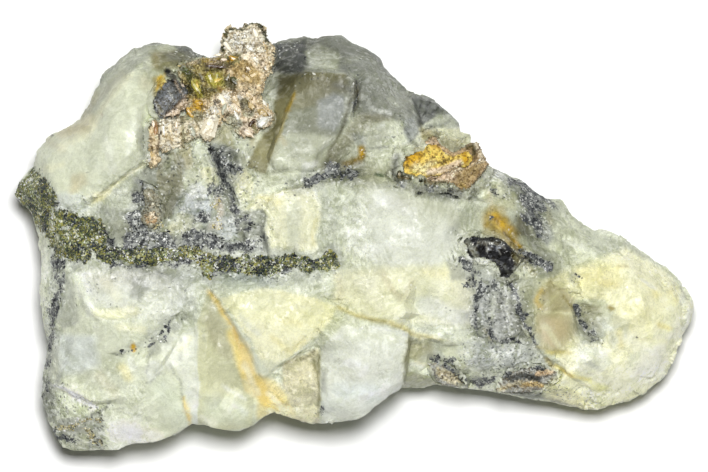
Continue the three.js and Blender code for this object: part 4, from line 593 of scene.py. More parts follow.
    area("pale_ochre", 0.5, 1.0, -12.2, -16.6, -10.2, -17.6, -8.4, -19.4, -6, -21.6, -6.6, -23.4,
         -9.6, -22, -12.2, -22.6),
    area("ochre", 0.7, 0.9, -15.8, -10.2, -14, -12.8, -12.6, -14.6, -12, -16.8, -10.6, -18.8,
         -8.4, -20.6, -9.6, -21.8, -11.8, -20.6, -13.4, -19, -14, -16.6, -14.6, -13.8),
    line("ochre", 0.8, 0.5, 0.3, -18, -6.9, -16.8, -8.8, -15.6, -10.8),
    line("cream", 0.6, 0.5, 0.25, -14.6, -14.8, -13.4, -17.6, -12.4, -20.6),
    line("pale_ochre", 0.6, 0.8, 0.4, -15.6, -12, -13.6, -17),
    line("beige", 0.8, 0.3, 0.16, -16.2, -9.4, -14.7, -11.8, -13.4, -13.6),
    line("ivory", 0.5, 0.6, 0.35, -13.4, -15.6, -12, -19.4),
    line("ivory", 0.5, 0.6, 0.4, -10.6, -19.4, -8.6, -21.6),
    line("cream", 0.6, 0.6, 0.3, -10.6, -21.4, -8.4, -22.2, -6.6, -22.6),
    line("deep_ochre", 0.5, 0.5, 0.2, -15.2, -11.4, -14.2, -13.6),
    # speckled facet and the step beside it
    area("beige", 0.95, 0.4, -8.6, -15.4, -7.4, -14.8, -4.6, -13.9, -4.2, -14.4, -4.4, -23.4,
         -7, -22.8, -8, -20.4, -9, -18.2),
    line("putty", 0.4, 0.9, 0.5, -6, -18, -5.4, -20.4),
    line("cream", 0.5, 0.6, 0.3, -7.4, -21.4, -5.4, -22.8),
    area("putty", 1.0, 0.2, -5.3, -15, -4.2, -14.1, -4.2, -17.2, -4.6, -16.6),
    line("olive", 0.8, 0.3, 0.12, -5.2, -15.2, -4.6, -16.8, -4.4, -18.4, -4.5, -22),
    line("dark_olive", 0.7, 0.3, 0.15, -7.2, -15, -5.6, -14.7, -5, -14.2),
    # block at the lower edge
    area("pale", 0.95, 0.4, -4.1, -14, -3, -12.6, -1.5, -11, 3.5, -11.2, 6.8, -12, 6.5, -15,
         6, -18.9, 0, -23.2, -4.1, -23.4),
    line("white", 0.9, 0.9, 0.5, -0.8, -15.4, 1.4, -15.9, 1, -17),
    line("blue", 0.5, 1.4, 1.0, -1.6, -19, 2.4, -19.4),
    line("lobe", 0.7, 0.8, 0.5, -1, -12, 5, -12.4),
    line("sage", 0.6, 0.7, 0.4, -3.4, -13.4, -2.4, -14.4),
    line("grey", 0.6, 0.6, 0.3, -3.9, -16.6, -3.8, -19),
    line("ivory", 0.35, 0.4, 0.2, 6.5, -12.6, 6.2, -15.8, 5.9, -18.4),
    # low ledge beside the block
    area("ledge", 1.0, 0.4, 6.7, -12.2, 9.4, -12.8, 13, -13.4, 14, -16.4, 12, -19, 6.1, -19,
         6.4, -15),
    area("olive_grey", 0.75, 0.6, 6.8, -12.6, 9.6, -13.2, 10.6, -14.6, 9, -15.4, 6.8, -14.8),
    line("sage", 0.6, 0.8, 0.4, 10, -13.6, 11.4, -15),
    area("sage", 0.9, 0.3, 6.7, -15, 9.4, -15.9, 13.6, -17.4, 12, -18.4, 10, -17.7, 6.6, -16.8),
    line("pale", 0.9, 0.3, 0.45, 7.2, -15.6, 9.2, -16.4, 11, -17.2),
    line("beige", 0.7, 0.4, 0.16, 7.4, -15.3, 9.4, -16, 10.6, -16.4),
    line("olive", 0.6, 0.3, 0.12, 6.75, -12.8, 6.6, -14.8, 6.3, -18.6),
    line("dark_olive", 0.5, 0.2, 0.1, 8.3, -13.6), line("dark_olive", 0.5, 0.2, 0.1, 6.8, -15.9),
    # right: around the black lump
    area("sage", 0.8, 0.8, 13.4, 3.6, 15.6, 4.6, 20.4, 6.6, 21.4, 3.4, 19.4, 0.4, 15, 0.2,
         12.8, 1.6),
    area("cream_sage", 0.8, 0.6, 16, 6.8, 18.8, 7, 20.4, 5, 20.2, 3.4, 17.4, 3.6, 16, 4.6),
    line("beige", 0.8, 0.5, 0.25, 16.6, 6, 17, 4.6, 17.6, 3.2),
    line("khaki", 0.6, 0.4, 0.2, 16.8, 3.6, 18, 3),
    # painted shadow under the curled leaf, in mid grey
    area("mid_grey", 0.6, 0.8, 5.4, 6.3, 9, 6, 13, 5.2, 15.8, 6.6, 15.4, 4.6, 12, 4.2, 8, 5.2),
    area("olive_grey", 0.9, 0.6, 20.2, 2.8, 22, 2.4, 22, 0, 20, 0.4),
    area("steel_grey", 1.0, 0.4, 22, 2.6, 23.4, 2.8, 24.6, 1.6, 25, 0.2, 24, -0.8, 22.6, 0.6),
    area("deep_grey", 0.6, 0.6, 19.8, 6.8, 22.4, 6.2, 24.6, 4.2, 23.6, 2.8, 21.8, 3, 20.6, 4.6),
    line("pale", 0.7, 0.3, 0.12, 23, 2.4, 24.2, 0.6),
    line("white", 0.6, 0.25, 0.1, 19.2, 7.9, 21.6, 7, 23.8, 5.6),
    area("bevel", 0.8, 0.8, 23.8, 4.8, 25.8, 4.6, 30, 0.8, 34.4, -0.6, 37, -2.6, 33, -3.4, 27, -3.6,
         25.2, -0.6, 24, 2.4),
    line("khaki", 0.5, 0.6, 0.3, 24.2, 3.6, 24.6, 2),
    line("pale", 0.7, 0.8, 0.5, 26.4, -0.2, 28.4, -1.6),
    line("lobe", 0.6, 0.7, 0.4, 27, 2, 28.4, 0.4),
    line("grey", 0.6, 0.6, 0.3, 22.2, -0.4, 23.8, -1.6, 25, -3.4),
    area("white", 0.8, 0.4, 15.9, 8, 17, 9, 18.8, 8, 18.2, 7, 16.4, 7.2),
    line("deep_grey", 0.5, 0.4, 0.12, 17, 8.7, 18.6, 8),
    line("deep_grey", 0.5, 0.5, 0.3, 18.8, 7.6, 20.6, 6.8),
    area("grey", 0.7, 0.6, 11.4, -2.8, 14, -2.6, 19.8, -4.6, 20.4, -5.6, 15.6, -5.2, 12, -5.4),
    line("white", 0.8, 0.4, 0.2, 14, -2.6, 16.6, -3.1),
    line("white", 0.6, 0.4, 0.3, 14, -1, 14.4, -1.8),
    line("mustard", 0.8, 1.2, 1.2, 17, 2.2, 18.2, 1.6, 19.3, 0.3),
    line("khaki", 0.6, 0.6, 0.4, 16.2, 0.6, 18, 0.2),
    line("mustard", 0.9, 0.6, 0.5, 19.4, -0.4, 20.4, -1.4, 21.2, -2.2),
    line("bright_ochre", 0.7, 0.6, 0.3, 17.8, 2.6, 18.6, 1.8, 19.4, 1),
    line("ochre", 0.5, 0.5, 0.2, 16.8, 2.8, 17.6, 1.2),
    line("mustard", 0.8, 0.6, 0.4, 16.4, 1.6, 17.6, 1.4, 18.8, 2),
    line("bright_ochre", 0.6, 0.6, 0.35, 17.4, 2.4, 18.4, 1.4, 19, 0.6),
    line("mustard", 0.6, 0.4, 0.25, 19.8, -0.8, 20.6, -1.8),
    line("khaki", 0.7, 0.8, 0.5, 17.2, 3.4, 18.6, 3.2),
    line("ochre", 0.6, 0.5, 0.3, 18.2, -3.2, 19.2, -3.4),
    line("beige", 0.7, 0.6, 0.4, 21, -3, 22.4, -4.4),
    line("brown", 0.5, 0.3, 0.15, 17, 2.4, 18, 1.8),
    line("brown", 0.5, 0.25, 0.12, 18.2, 1, 19, 0.2),
    line("khaki", 0.7, 0.4, 0.25, 16.6, 2.2, 17.4, 0.6),
    line("mustard", 0.9, 0.4, 0.3, 19.8, -0.6, 20.6, -1.6, 21.4, -2.6),
    line("pale_ochre", 0.6, 0.3, 0.15, 18.6, 1.6, 19.4, 0.2),
    line("pale_ochre", 0.6, 0.25, 0.1, 17.2, 2.9, 17.9, 2.6),
    line("brown", 0.5, 0.2, 0.1, 17.9, 2.6, 18.5, 2.3),
    line("brown", 0.5, 0.2, 0.1, 16.9, 1.5, 17.6, 0.9),
    line("brown", 0.6, 0.2, 0.1, 18.6, 0.5, 19.2, -0.3),
    line("brown", 0.6, 0.2, 0.1, 20, -1.2, 20.4, -2),
    line("pale_ochre", 0.6, 0.2, 0.1, 17.8, 1.3, 18.3, 0.9),
    line("pale_ochre", 0.6, 0.2, 0.1, 20.4, -0.9, 21, -1.9),
    line("bright_ochre", 0.7, 0.2, 0.12, 18.3, 2, 18.9, 1.2),
    line("bright_ochre", 0.7, 0.2, 0.12, 19.9, -0.4, 20.7, -1.2),
    # the dark wedge over the curled leaf, with its cracks
    area("deep_grey", 0.8, 0.35, 7.3, 17.9, 9.2, 18, 11.4, 16.8, 12.7, 15.5, 10.8, 15.2, 8.6, 14.3,
         7.6, 16),
    line("black", 0.7, 0.2, 0.1, 8.5, 17.6, 8.3, 15.4),
    line("black", 0.7, 0.2, 0.1, 9.8, 17.4, 9, 15.4),
    line("black", 0.6, 0.2, 0.1, 11.2, 16.8, 9.8, 15.4),
    line("grey", 0.6, 0.3, 0.12, 12.2, 15.9, 10.2, 15.1),
    # streaks in the dark rim right of the tall leaf
    line("mid_grey", 0.6, 0.3, 0.12, -10, 21.4, -8.6, 22.6, -7.6, 24),
    line("grey", 0.5, 0.25, 0.1, -9, 21, -7.4, 22.4, -6.6, 23.8),
    line("black", 0.5, 0.4, 0.2, -9.8, 23, -9, 24),
    # silvery grey patch and the translucent ground below it
    area("silver_grey", 1.0, 0.7, 15.6, -5.4, 17.4, -5, 19.4, -6.4, 20.4, -9.4, 21.2, -12.4,
         19, -13, 15.2, -12.4, 15, -9),
    area("steel_grey", 0.8, 0.8, 14.4, -12.6, 18, -13, 22, -12.8, 22.6, -14.6, 21.4, -16.4,
         18.4, -16.6, 14.4, -16.2, 12.4, -14.6),
    line("white", 0.95, 0.3, 0.22, 16.2, -6.4, 15.8, -8.6, 15.8, -11),
    line("pale", 1.0, 0.3, 0.24, 17.6, -6, 17.4, -8, 16.8, -10.8),
    line("white", 0.95, 0.3, 0.2, 18.8, -6.8, 18.9, -9, 19.5, -11.8),
    line("white", 0.8, 0.3, 0.15, 18, -5.6, 19.6, -7.4),
    line("deep_grey", 0.6, 0.3, 0.2, 16.8, -6.6, 16.2, -9, 16, -11.6),
    line("deep_grey", 0.6, 0.3, 0.18, 18.2, -6.4, 18, -9, 18.2, -11.8),
    line("mid_grey", 0.7, 0.4, 0.3, 19.8, -8, 20.4, -11),
    line("dark_grey", 0.6, 0.4, 0.2, 15.2, -11.8, 17, -12.8, 19.4, -12.8),
    line("white", 0.6, 0.4, 0.25, 18.4, -13.4, 20.6, -14.6, 21.6, -16),
    area("lobe", 0.6, 0.8, 10.8, -12.9, 14.6, -12.4, 15, -14.4, 13.4, -16.4, 11.2, -15.6),
    line("pale", 0.8, 0.5, 0.4, 17.4, -14.8, 18, -15.8),
    line("grey", 0.5, 0.7, 0.3, 15.2, -14.6, 16.6, -16.8),
    line("khaki", 0.8, 0.4, 0.35, 16.4, -11.4, 17, -12.2),
    area("sage", 0.9, 0.5, 20, -5.2, 22.4, -5, 22.6, -9, 22.6, -12.4, 21.2, -11.6, 20.2, -8),
    line("deep_grey", 0.5, 0.5, 0.25, 20.2, -5.8, 20.8, -5.2),
    line("dark_grey", 0.7, 0.4, 0.25, 20.4, -10.6, 21.4, -12.6, 22.2, -13.4),
    area("grey", 0.6, 0.6, 21.4, -13.6, 22.6, -13.4, 24.2, -15.2, 24.4, -16.6, 22, -16.2),
    area("lobe", 0.8, 0.5, 13.6, -16.6, 17.6, -17.4, 18.2, -19.2, 13.8, -19.2),
    area("deep_grey", 0.7, 0.5, 19.2, -19.4, 23, -18.8, 24.6, -20, 22, -20.6),
    # right: beige facets, hollow and the sugary end
    area("cream", 1.0, 1.0, 25.8, -4.6, 30, -3, 34, -1.2, 38.8, -4, 43, -8.6, 41.4, -13.8,
         38, -18.8, 31, -22.2, 24, -20.8, 23.4, -18.4, 26.4, -17, 25.4, -14.6, 22.8, -12.6,
         22.6, -8, 23.2, -5.4),
    line("ivory", 0.7, 1.2, 0.8, 33.6, -12.6, 38, -14.4),
    line("ivory", 0.6, 1.2, 0.8, 34, -6, 38, -8.4),
    line("white", 0.8, 0.4, 0.2, 36, -5.2, 37.6, -6.2),
    area("pale", 0.6, 0.5, 34.6, -14.6, 37, -13.8, 39.4, -15.4, 38.6, -18, 35.6, -18.6,
         33.8, -16.8),
    area("ivory", 0.7, 0.4, 31.4, -4.4, 34.6, -4, 36.4, -6.4, 34.8, -8.8, 32.2, -8.2, 30.6, -6),
    area("pale", 0.5, 0.5, 27.8, -13.8, 31, -13.6, 32.4, -15.6, 30, -17.4, 27.6, -16.6),
    area("ivory", 0.6, 0.4, 36.8, -9.6, 39.4, -8.4, 41.4, -10.4, 40.6, -13.2, 37.6, -12.6),
    area("bevel", 0.5, 0.6, 32.4, -9.4, 34.4, -10.6, 34, -12.8, 31.8, -13.6),
    line("cream", 0.8, 0.5, 0.3, 33.8, -9.6, 36.6, -10.8, 36, -13),
    area("lobe", 0.6, 0.5, 27.4, -1.4, 31, -2.2, 33, -3.6, 29.4, -4.2, 26.4, -3.4),
    line("pale", 0.7, 0.9, 0.5, 35.4, -17, 38, -16.6),
    line("pale", 0.8, 0.5, 0.4, 41.2, -7.4, 42, -9.4, 41.4, -11.6),
    area("yellow", 0.3, 1.6, 27.4, -3.6, 33, -3, 34, -6, 28, -6),
    line("yellow", 0.5, 0.8, 0.4, 31, -5.8, 32.8, -6.2),
    line("yellow", 0.7, 0.7, 0.35, 38.2, -10.6, 39.4, -11.4),
    line("yellow", 0.5, 0.8, 0.4, 33, -12, 33.4, -13.6), line("yellow", 0.45, 1.0, 0.5, 37.6, -6.8),
    line("khaki", 0.5, 0.5, 0.25, 33, -3.6, 34, -3.4),
    line("yellow", 0.4, 0.8, 0.4, 39.4, -6.6, 40.2, -8),
    area("beige", 1.0, 0.4, 23.6, -6.4, 25.2, -6, 27.4, -7.4, 27.2, -9.2, 23.6, -9.2),
    area("putty", 0.5, 0.6, 25.6, -7, 27.4, -7.6, 27.2, -8.8, 25.8, -8.6),
    area("beige", 0.9, 0.4, 22.8, -9.5, 26.8, -9.5, 27.6, -11.6, 26.8, -13, 24.8, -14.6,
         23.2, -13.6, 22.6, -11.4),
    area("pinkish", 0.5, 0.8, 23.6, -10, 26.4, -10, 26.6, -12, 25, -13.8, 23.4, -12.8),
    line("ivory", 0.8, 0.5, 0.4, 23.8, -11, 25.6, -13.2),
    line("ivory", 0.7, 0.25, 0.12, 23.2, -9.3, 26.8, -9.3),
    line("khaki", 0.7, 0.4, 0.2, 26, -7.4, 27.4, -9, 27.6, -11.4),
    line("cream", 0.6, 0.4, 0.25, 24, -8.4, 25.4, -6.8),
    line("putty", 0.7, 0.3, 0.15, 24.6, -9, 26.6, -8.6),
    line("ochre", 0.7, 0.5, 0.3, 23.4, -6.4, 22.8, -7.8, 23.4, -8.6),
    line("khaki", 0.6, 0.5, 0.3, 24.6, -5.6, 23.6, -7),
    line("khaki", 0.6, 0.4, 0.2, 22.8, -13.6, 24.8, -14.4, 26.6, -14),
    line("yellow", 0.6, 0.5, 0.3, 24, -14.4, 27, -14.4),
    area("sage", 0.8, 0.8, 27.6, -7.6, 31, -7.6, 32.8, -9, 32, -11, 30.6, -13.2, 28, -13.2,
         27.4, -10),
    line("mid_grey", 0.7, 0.6, 0.4, 27.6, -8.8, 28.4, -9.4),
    area("olive_grey", 0.55, 0.8, 27.6, -8, 30.6, -8.4, 31.4, -10.6, 30.4, -13, 28.6, -12.8),
    line("pale", 0.7, 0.5, 0.3, 30.6, -10.4, 32, -11.4),
    line("lobe", 0.7, 0.5, 0.3, 28.6, -7.8, 31.2, -8.2),
    line("khaki", 0.9, 0.3, 0.25, 31.8, -8.6, 32.3, -9),
    line("olive_grey", 0.7, 0.4, 0.2, 28.6, -8.4, 30, -8.8),
    area("lobe", 0.5, 0.8, 27.4, -13.6, 30.4, -13.6, 32.4, -16, 29, -16.6),
    line("grey", 0.4, 0.5, 0.25, 28.4, -15.4, 31, -16.6),
    line("yellow", 0.9, 0.4, 0.25, 25.2, -16.2, 27, -17.1, 29.4, -18),
    line("yellow", 0.6, 0.8, 0.5, 30, -18.6, 31.2, -18.8),
    line("ochre", 0.5, 0.5, 0.2, 26.2, -16.7, 27.2, -17.3),
    line("khaki", 0.8, 0.4, 0.3, 24, -15.4, 24.8, -16.2),
    area("beige", 0.6, 0.8, 24, -18.4, 29, -19.6, 30.4, -21.8, 24.6, -20.8),
    line("deep_grey", 0.6, 0.4, 0.2, 23.6, -20.3, 26, -20.9, 30, -21.6, 31.4, -21),
    line("grey", 0.4, 0.6, 0.3, 25, -19, 28, -19.8),
    line("deep_grey", 0.6, 0.3, 0.12, 41, -6.2, 42.1, -8),
]

# Where the calcite is smooth.
SMOOTH_GROUND = [
    line(1.0, 2, 4.5, -36, 9, -31, 12, -28, 16), line(0.8, 1.5, 2, -33, -14, -30, -13),
    area(1.0, 1, -26.5, -16, -22, -12, -19.5, -10.5, -18, -7.5, -13, -13, -10, -17, -11, -22,
         -14, -24.4, -25, -25.6),
    area(0.9, 1, -16.5, -7.5, -11, -6.3, -2, -8.2, -8, -14.8, -10.5, -16.5),
    area(0.9, 1, -4, -13.8, -1.5, -11, 3.5, -11, 6.8, -12, 6, -18.7, 0, -23, -4, -23),
    area(0.9, 1.5, 1, 6, 5, 6, 12, 4, 13, 0, 12, -4, 3, -4),
    area(0.8, 1, -6.9, 20.6, -1.2, 20.6, 0, 16, -5, 8, -13.3, 9, -9.3, 20),
    area(0.8, 1, -9.5, 5, -5, 6, -4.4, -1, -9.5, -1),
    area(1.0, 1.5, 22.6, -6, 25.6, -6, 27.4, -8, 27.6, -12, 26, -14.8, 23.4, -14),
    line(0.8, 1, 1.5, -31, -7, -28, -7), line(0.7, 1, 1.2, 9, -15, 12, -14),
    area(0.75, 1.5, -3, -3.6, 14, -3.6, 14.4, -11.6, 7, -11, 0, -9.4),
    area(0.6, 1.5, 28, -4, 36, -4, 41, -9, 39, -15, 34, -19, 27, -18, 31, -13),
    area(0.6, 2, -36, -5, -21, -5, -22, -10, -28, -20, -30, -26, -24, -25, -36, -18),
]

# Where a step of the ground is a slope.
SOFT_EDGES = [
    line(1.0, 0.8, 1.5, -24.8, 10.4, -27, 8.7, -29, 6.8, -30.3, 5.9, -33, 3.4, -37, 3),
    line(1.0, 0.8, 1.4, -14, 9, -10.6, 8, -5, 8.1, -2, 11, 0, 14),
    line(0.9, 0.8, 1.0, -12.6, 12, -10.5, 13, -9, 20),
    line(0.9, 0.8, 1.0, -9, 9, -7.4, 14, -6.6, 20),
    line(0.8, 0.6, 0.9, -11.4, 5.4, -10.2, 0, -10, -2), line(0.8, 0.6, 0.9, -4.4, 6, -4.3, -1.6),
    line(0.8, 0.6, 0.8, -2, -8, 0, -9.6, 3.8, -10.8, 6, -11, 7.5, -12),
    line(0.7, 0.6, 0.7, -16, -8, -12, -15.4, -8.6, -15, -4.4, -13),
    line(0.8, 0.6, 0.9, 22.8, -5, 22.4, -9, 23, -13.4, 25.8, -15.4),
    line(1.0, 0.6, 0.8, -19.6, -10.6, -19.5, -24),
    line(1.0, 0.6, 0.8, -26.2, -17.4, -24, -13.6, -21.8, -11.4),
    line(1.0, 0.6, 1.0, -18.4, -7, -15.4, -11.4, -13.4, -15, -11, -19.6),
    line(1.0, 0.6, 0.9, -10.6, -16.6, -8, -15, -4.2, -13),
    line(0.8, 0.5, 0.7, -4.2, -14, -4.4, -23),
    line(1.0, 0.6, 0.9, 3.8, -10.8, 7.5, -12, 13.4, -13.6),
    line(0.9, 0.5, 0.6, -26.2, 9.8, -26.2, 16),
    line(0.8, 0.5, 0.7, -23, -10.2, -25, -12.6, -29.4, -14.8),
]

# Broad strokes that darken or lighten the colours: partly the stone's own tones, partly painted
# shade, as over the window facet's top under its wall, and painted light, as on faces along the
# lower edge that turn away from the lamp.
PAINTED_LIGHT_AND_SHADE = [
    shade(0.66, 5, 3.2, -8, 21, -4, 21, 0, 21), shade(0.82, 4, 2.6, -5, 16, 2, 16, 4, 14),
    shade((0.7, 0.7, 0.68), 4, 2, -6, 12, 2, 12),
    shade((0.72, 0.71, 0.68), 3, 1.6, -2.5, 8.6, 2, 8.2), shade(0.8, 3, 1.5, -6, 24.4, 0, 24),
    shade(0.96, 3, 1.6, 4, 18, 7, 16), shade((0.72, 0.74, 0.76), 4, 2, -22.4, 4, -18.6, 3),
    shade(0.8, 3, 2, -30, 1.6, -26, 0.6, -22, 0),
    shade((0.82, 0.8, 0.8), 3, 1.2, -32, -4.8, -24, -4.8),
    shade((0.82, 0.84, 0.88), 3, 1.2, -15, -5.4, -11, -5.2),
    shade((0.62, 0.62, 0.55), 4, 2, 21.4, 0.6, 22.6, -4),
    shade((0.74, 0.74, 0.66), 3, 1.6, 25, -3.6, 24, -8),
    shade((0.78, 0.77, 0.66), 3, 1.6, 25, -10, 25.4, -13),
    shade((0.88, 0.88, 0.84), 3, 1.4, 24, 2, 28, 0),
    shade((0.84, 0.84, 0.78), 3, 1.6, 6.4, 4.6, 12, 3.6, 14, 1),
    shade((0.9, 0.9, 0.88), 3, 2, 0, -4, 8, -3),
    shade((0.8, 0.8, 0.86), 3, 1.4, 14.4, -6, 14.4, -10),
    shade((0.8, 0.8, 0.78), 3, 1.4, 20, 5, 17, 8), shade(1.2, 3, 1.6, -35.4, -20.4, -34, -21),
    shade((1.22, 1.22, 1.18), 3, 1.6, -31, -24, -25, -24.4),
    shade((1.12, 1.14, 1.16), 3, 1.4, -24, -19, -21, -22, -14, -22, -6, -21, 4, -19.4),
    shade(1.2, 2, 1.2, 8, -14, 12, -15),
    shade((1.12, 1.12, 1.08), 3, 2, 30, -19, 36, -17, 39, -13, 40, -9),
    shade(1.15, 2, 1.2, 8, -11.4, 12, -12), shade(1.1, 3, 1.2, -25, 15, -26.5, 18),
    shade((1.08, 1.08, 1.1), 3, 1.4, -38.6, -3, -38.6, -9),
    shade((1.1, 1.1, 1.08), 3, 1.4, -38, 7, -35, 5),
    shade((0.74, 0.74, 0.72), 3, 1.4, -10.4, 20, -7, 20),
    shade((0.78, 0.78, 0.76), 2.5, 1, -24, 23.6, -20, 23),
    shade((0.78, 0.78, 0.74), 2.5, 1, -7, 24.4, -4, 24),
    shade((0.8, 0.8, 0.78), 3, 1.4, -24, 9, -20, 9),
    shade((0.84, 0.84, 0.82), 3, 1.4, -15, 9.4, -10, 8),
    shade((0.76, 0.76, 0.7), 3, 1.4, -3, 8, 3, 8), shade(0.8, 3, 1.6, -22, 4, -16, 4),
    shade((0.84, 0.84, 0.82), 3, 1.6, 22, 4.6, 24, 3),
    shade((0.78, 0.78, 0.74), 3, 1.4, -31, 1, -25, 0.4), shade(0.8, 3, 1.4, -26, -0.4, -18, -0.6),
    shade(0.72, 3, 1.4, 21, 1, 23, -1), shade((0.82, 0.83, 0.84), 2.5, 1, -27, -4.6, -20, -5),
    shade((0.78, 0.8, 0.8), 2.5, 1, -16, -5, -12, -5),
    shade((0.94, 0.94, 0.84), 3, 2, -15, -8, -8, -9, -4, -10),
    shade((0.82, 0.8, 0.7), 3, 1.4, 21.6, -7, 22, -12),
    shade((0.9, 0.88, 0.78), 3, 1.6, 25, -7, 26, -12),
    shade((0.96, 0.95, 0.84), 4, 3, 31, -6, 37, -9),
    shade((0.95, 0.95, 0.88), 3, 2, -4, -9, 4, -8, 8, -6),
    shade((1.14, 1.14, 1.12), 3, 1.4, -35, -20.4, -33.6, -21),
    shade((1.15, 1.15, 1.18), 2.5, 1.2, -18, -20, -15, -21),
    shade((1.1, 1.1, 1.07), 3, 1.2, -28, -24.6, -24, -24.6),
    shade((1.12, 1.12, 1.14), 3, 1.2, 1, -20, 5, -18), shade(0.88, 3, 1.2, 5, 8.6, 6, 7),
    shade((0.86, 0.86, 0.84), 3, 1.4, 5, 4.6, 9, 4.6, 13, 3),
    shade((1.06, 1.06, 1.03), 3, 2, -24, -14, -20.6, -13, -20.4, -20),
    shade((1.05, 1.05, 1.06), 3, 2, -34, -6, -26, -6), shade(0.8, 2.5, 1.1, -16, 1.4, -15.2, -0.8),
    shade((0.93, 0.93, 0.92), 2.5, 1.1, -12.4, 0.4, -11.6, -1.2),
    shade(0.9, 2.5, 1, -39, -17.6, -39, -20),
    shade((1.12, 1.1, 1.06), 3, 1.4, -36, -24, -33.6, -24.4),
    shade((1.09, 1.09, 1.15), 3, 1.6, -31.4, -24.6, -28, -24.8, -25, -24.6),
    shade((0.86, 0.86, 0.83), 3, 1.6, -10.6, 19, -9, 21),
    shade((1.14, 1.14, 1.12), 3, 1.8, 13, -3.6, 15, -4.4),
    shade((0.9, 0.88, 0.78), 3, 1.6, 17, 2.4, 19, 0),
    shade((1.1, 1.1, 1.08), 3, 1.6, 5.4, 17, 7, 15),
    shade((1.1, 1.1, 1.07), 3, 1.6, 7.4, -15.4, 10.6, -16.6),
    shade((1.04, 1.04, 1.12), 3, 2, 9, -12.6, 11, -11),
    shade((1.05, 1.06, 1.13), 3, 2, 29, -12.6, 31.4, -12), shade(1.06, 3, 2, 9, 4.6, 11, 3),
    shade(1.1, 3, 1.4, -38.8, -2, -39, -8), shade((1.04, 1.05, 1.12), 3, 2.2, 7, -8, 9, -6),
    shade(1.06, 3, 2, -38, 11, -36, 9), shade(1.16, 3, 2, 26, 1, 28, -1),
    shade(1.09, 3, 2, 30, -1, 33, -3), shade(1.14, 3, 1.8, 0, 23.4, 3, 21.4),
    shade((1.08, 1.08, 1.06), 3, 1.4, -4.6, 23, -3.4, 22),
    shade((0.8, 0.8, 0.74), 3, 1.2, -24, 22.8, -20.4, 22.4), shade(0.9, 3, 1.2, -27, 21, -25.6, 20),
    shade((0.86, 0.86, 0.84), 3, 1.6, -19.6, 6, -16.6, 5),
    shade((0.86, 0.86, 0.84), 3, 1.4, -13.4, 7.4, -12.6, 4),
    shade((0.9, 0.9, 0.88), 3, 1.6, -21.4, 9, -20.4, 7),
    shade((1.08, 1.08, 1.06), 4, 2, -6, 16, -3, 14),
    shade((1.1, 1.1, 1.12), 3, 1.6, 14.8, -14.4, 17, -14.6),
    shade((0.88, 0.88, 0.86), 3, 1.2, 19, -6, 20, -8),
    shade((1.1, 1.1, 1.13), 3, 1.8, 29.4, -15, 31, -16),
    shade((1.09, 1.09, 1.02), 3, 1.8, 26.6, -18.8, 29.6, -19.4),
    shade((0.84, 0.83, 0.82), 3, 1, 28.6, -11.4, 29.6, -12.6),
    shade((1.06, 1.06, 1.08), 3, 2, 37, -16, 39, -15), shade(0.96, 4, 2, 32, -7, 36, -8),
    shade((1.1, 1.1, 1.12), 3, 1.4, -24.4, 9.4, -23.6, 8.6),
    shade((0.78, 0.78, 0.76), 2.5, 1.2, -3, 9.6, -0.6, 10.6),
    shade((1.2, 1.2, 1.22), 2.5, 1.2, -13, 11.6, -11.4, 10.4), shade(1.12, 3, 1.6, 2, 20.4, 5, 18),
    shade((0.8, 0.8, 0.78), 2.5, 1, -26, 17, -25.8, 20),
    shade((0.78, 0.78, 0.76), 3, 1.4, -28, 0.6, -25, -0.4), shade(0.9, 3, 2, -22, -6.6, -17, -8),
    shade((0.9, 0.9, 0.89), 3, 2.4, -34, -15, -31, -17),
    shade((0.86, 0.86, 0.84), 3, 1.4, 21, 5.4, 22.6, 2),
    shade((1.1, 1.1, 1.04), 3, 2, 27, -19.4, 31, -20, 36, -18),
    shade((0.93, 0.93, 0.92), 4, 2.6, -9, -8.6, -4, -9.6, 2, -7),
    shade((1.1, 1.1, 1.12), 3, 1.6, 25, -11.6, 25.4, -10),
    shade((0.84, 0.84, 0.8), 3, 1.2, -26, 20.4, -22, 21.4), shade(0.72, 2.5, 1, -9.6, 19, -8.6, 21),
    shade((0.82, 0.82, 0.78), 3, 1.6, -3, 8.4, 4, 7.6),
    shade((0.8, 0.8, 0.76), 3, 1.6, -27, 1, -24, 0), shade(0.9, 4, 3, -6, 4, -5, 0),
    shade(0.93, 4, 3, 9, 1, 14, 0), shade((0.92, 0.92, 0.93), 4, 2, -28, -4.6, -14, -5),
    shade((0.93, 0.94, 0.95), 4, 2, -20, -8, -13, -8),
    shade((0.84, 0.84, 0.82), 3, 1.8, 18, -8, 22, -9),
    shade((0.88, 0.88, 0.86), 4, 2, 17, -12, 26, -12),
    shade((0.92, 0.92, 0.88), 4, 2.4, 26, 0, 27, -6, 28, -10),
    shade((0.94, 0.94, 0.93), 4, 2.4, -3, -12, -2, -16),
    shade((1.12, 1.12, 1.08), 3, 1.6, 9, -16, 14, -16), shade(1.14, 3, 1.4, -35, -20, -33, -21),
    shade(0.92, 4, 2, -36, -15, -33, -15), shade((1.08, 1.08, 1.1), 3, 1.6, -20, -20, -16, -20.6),
]

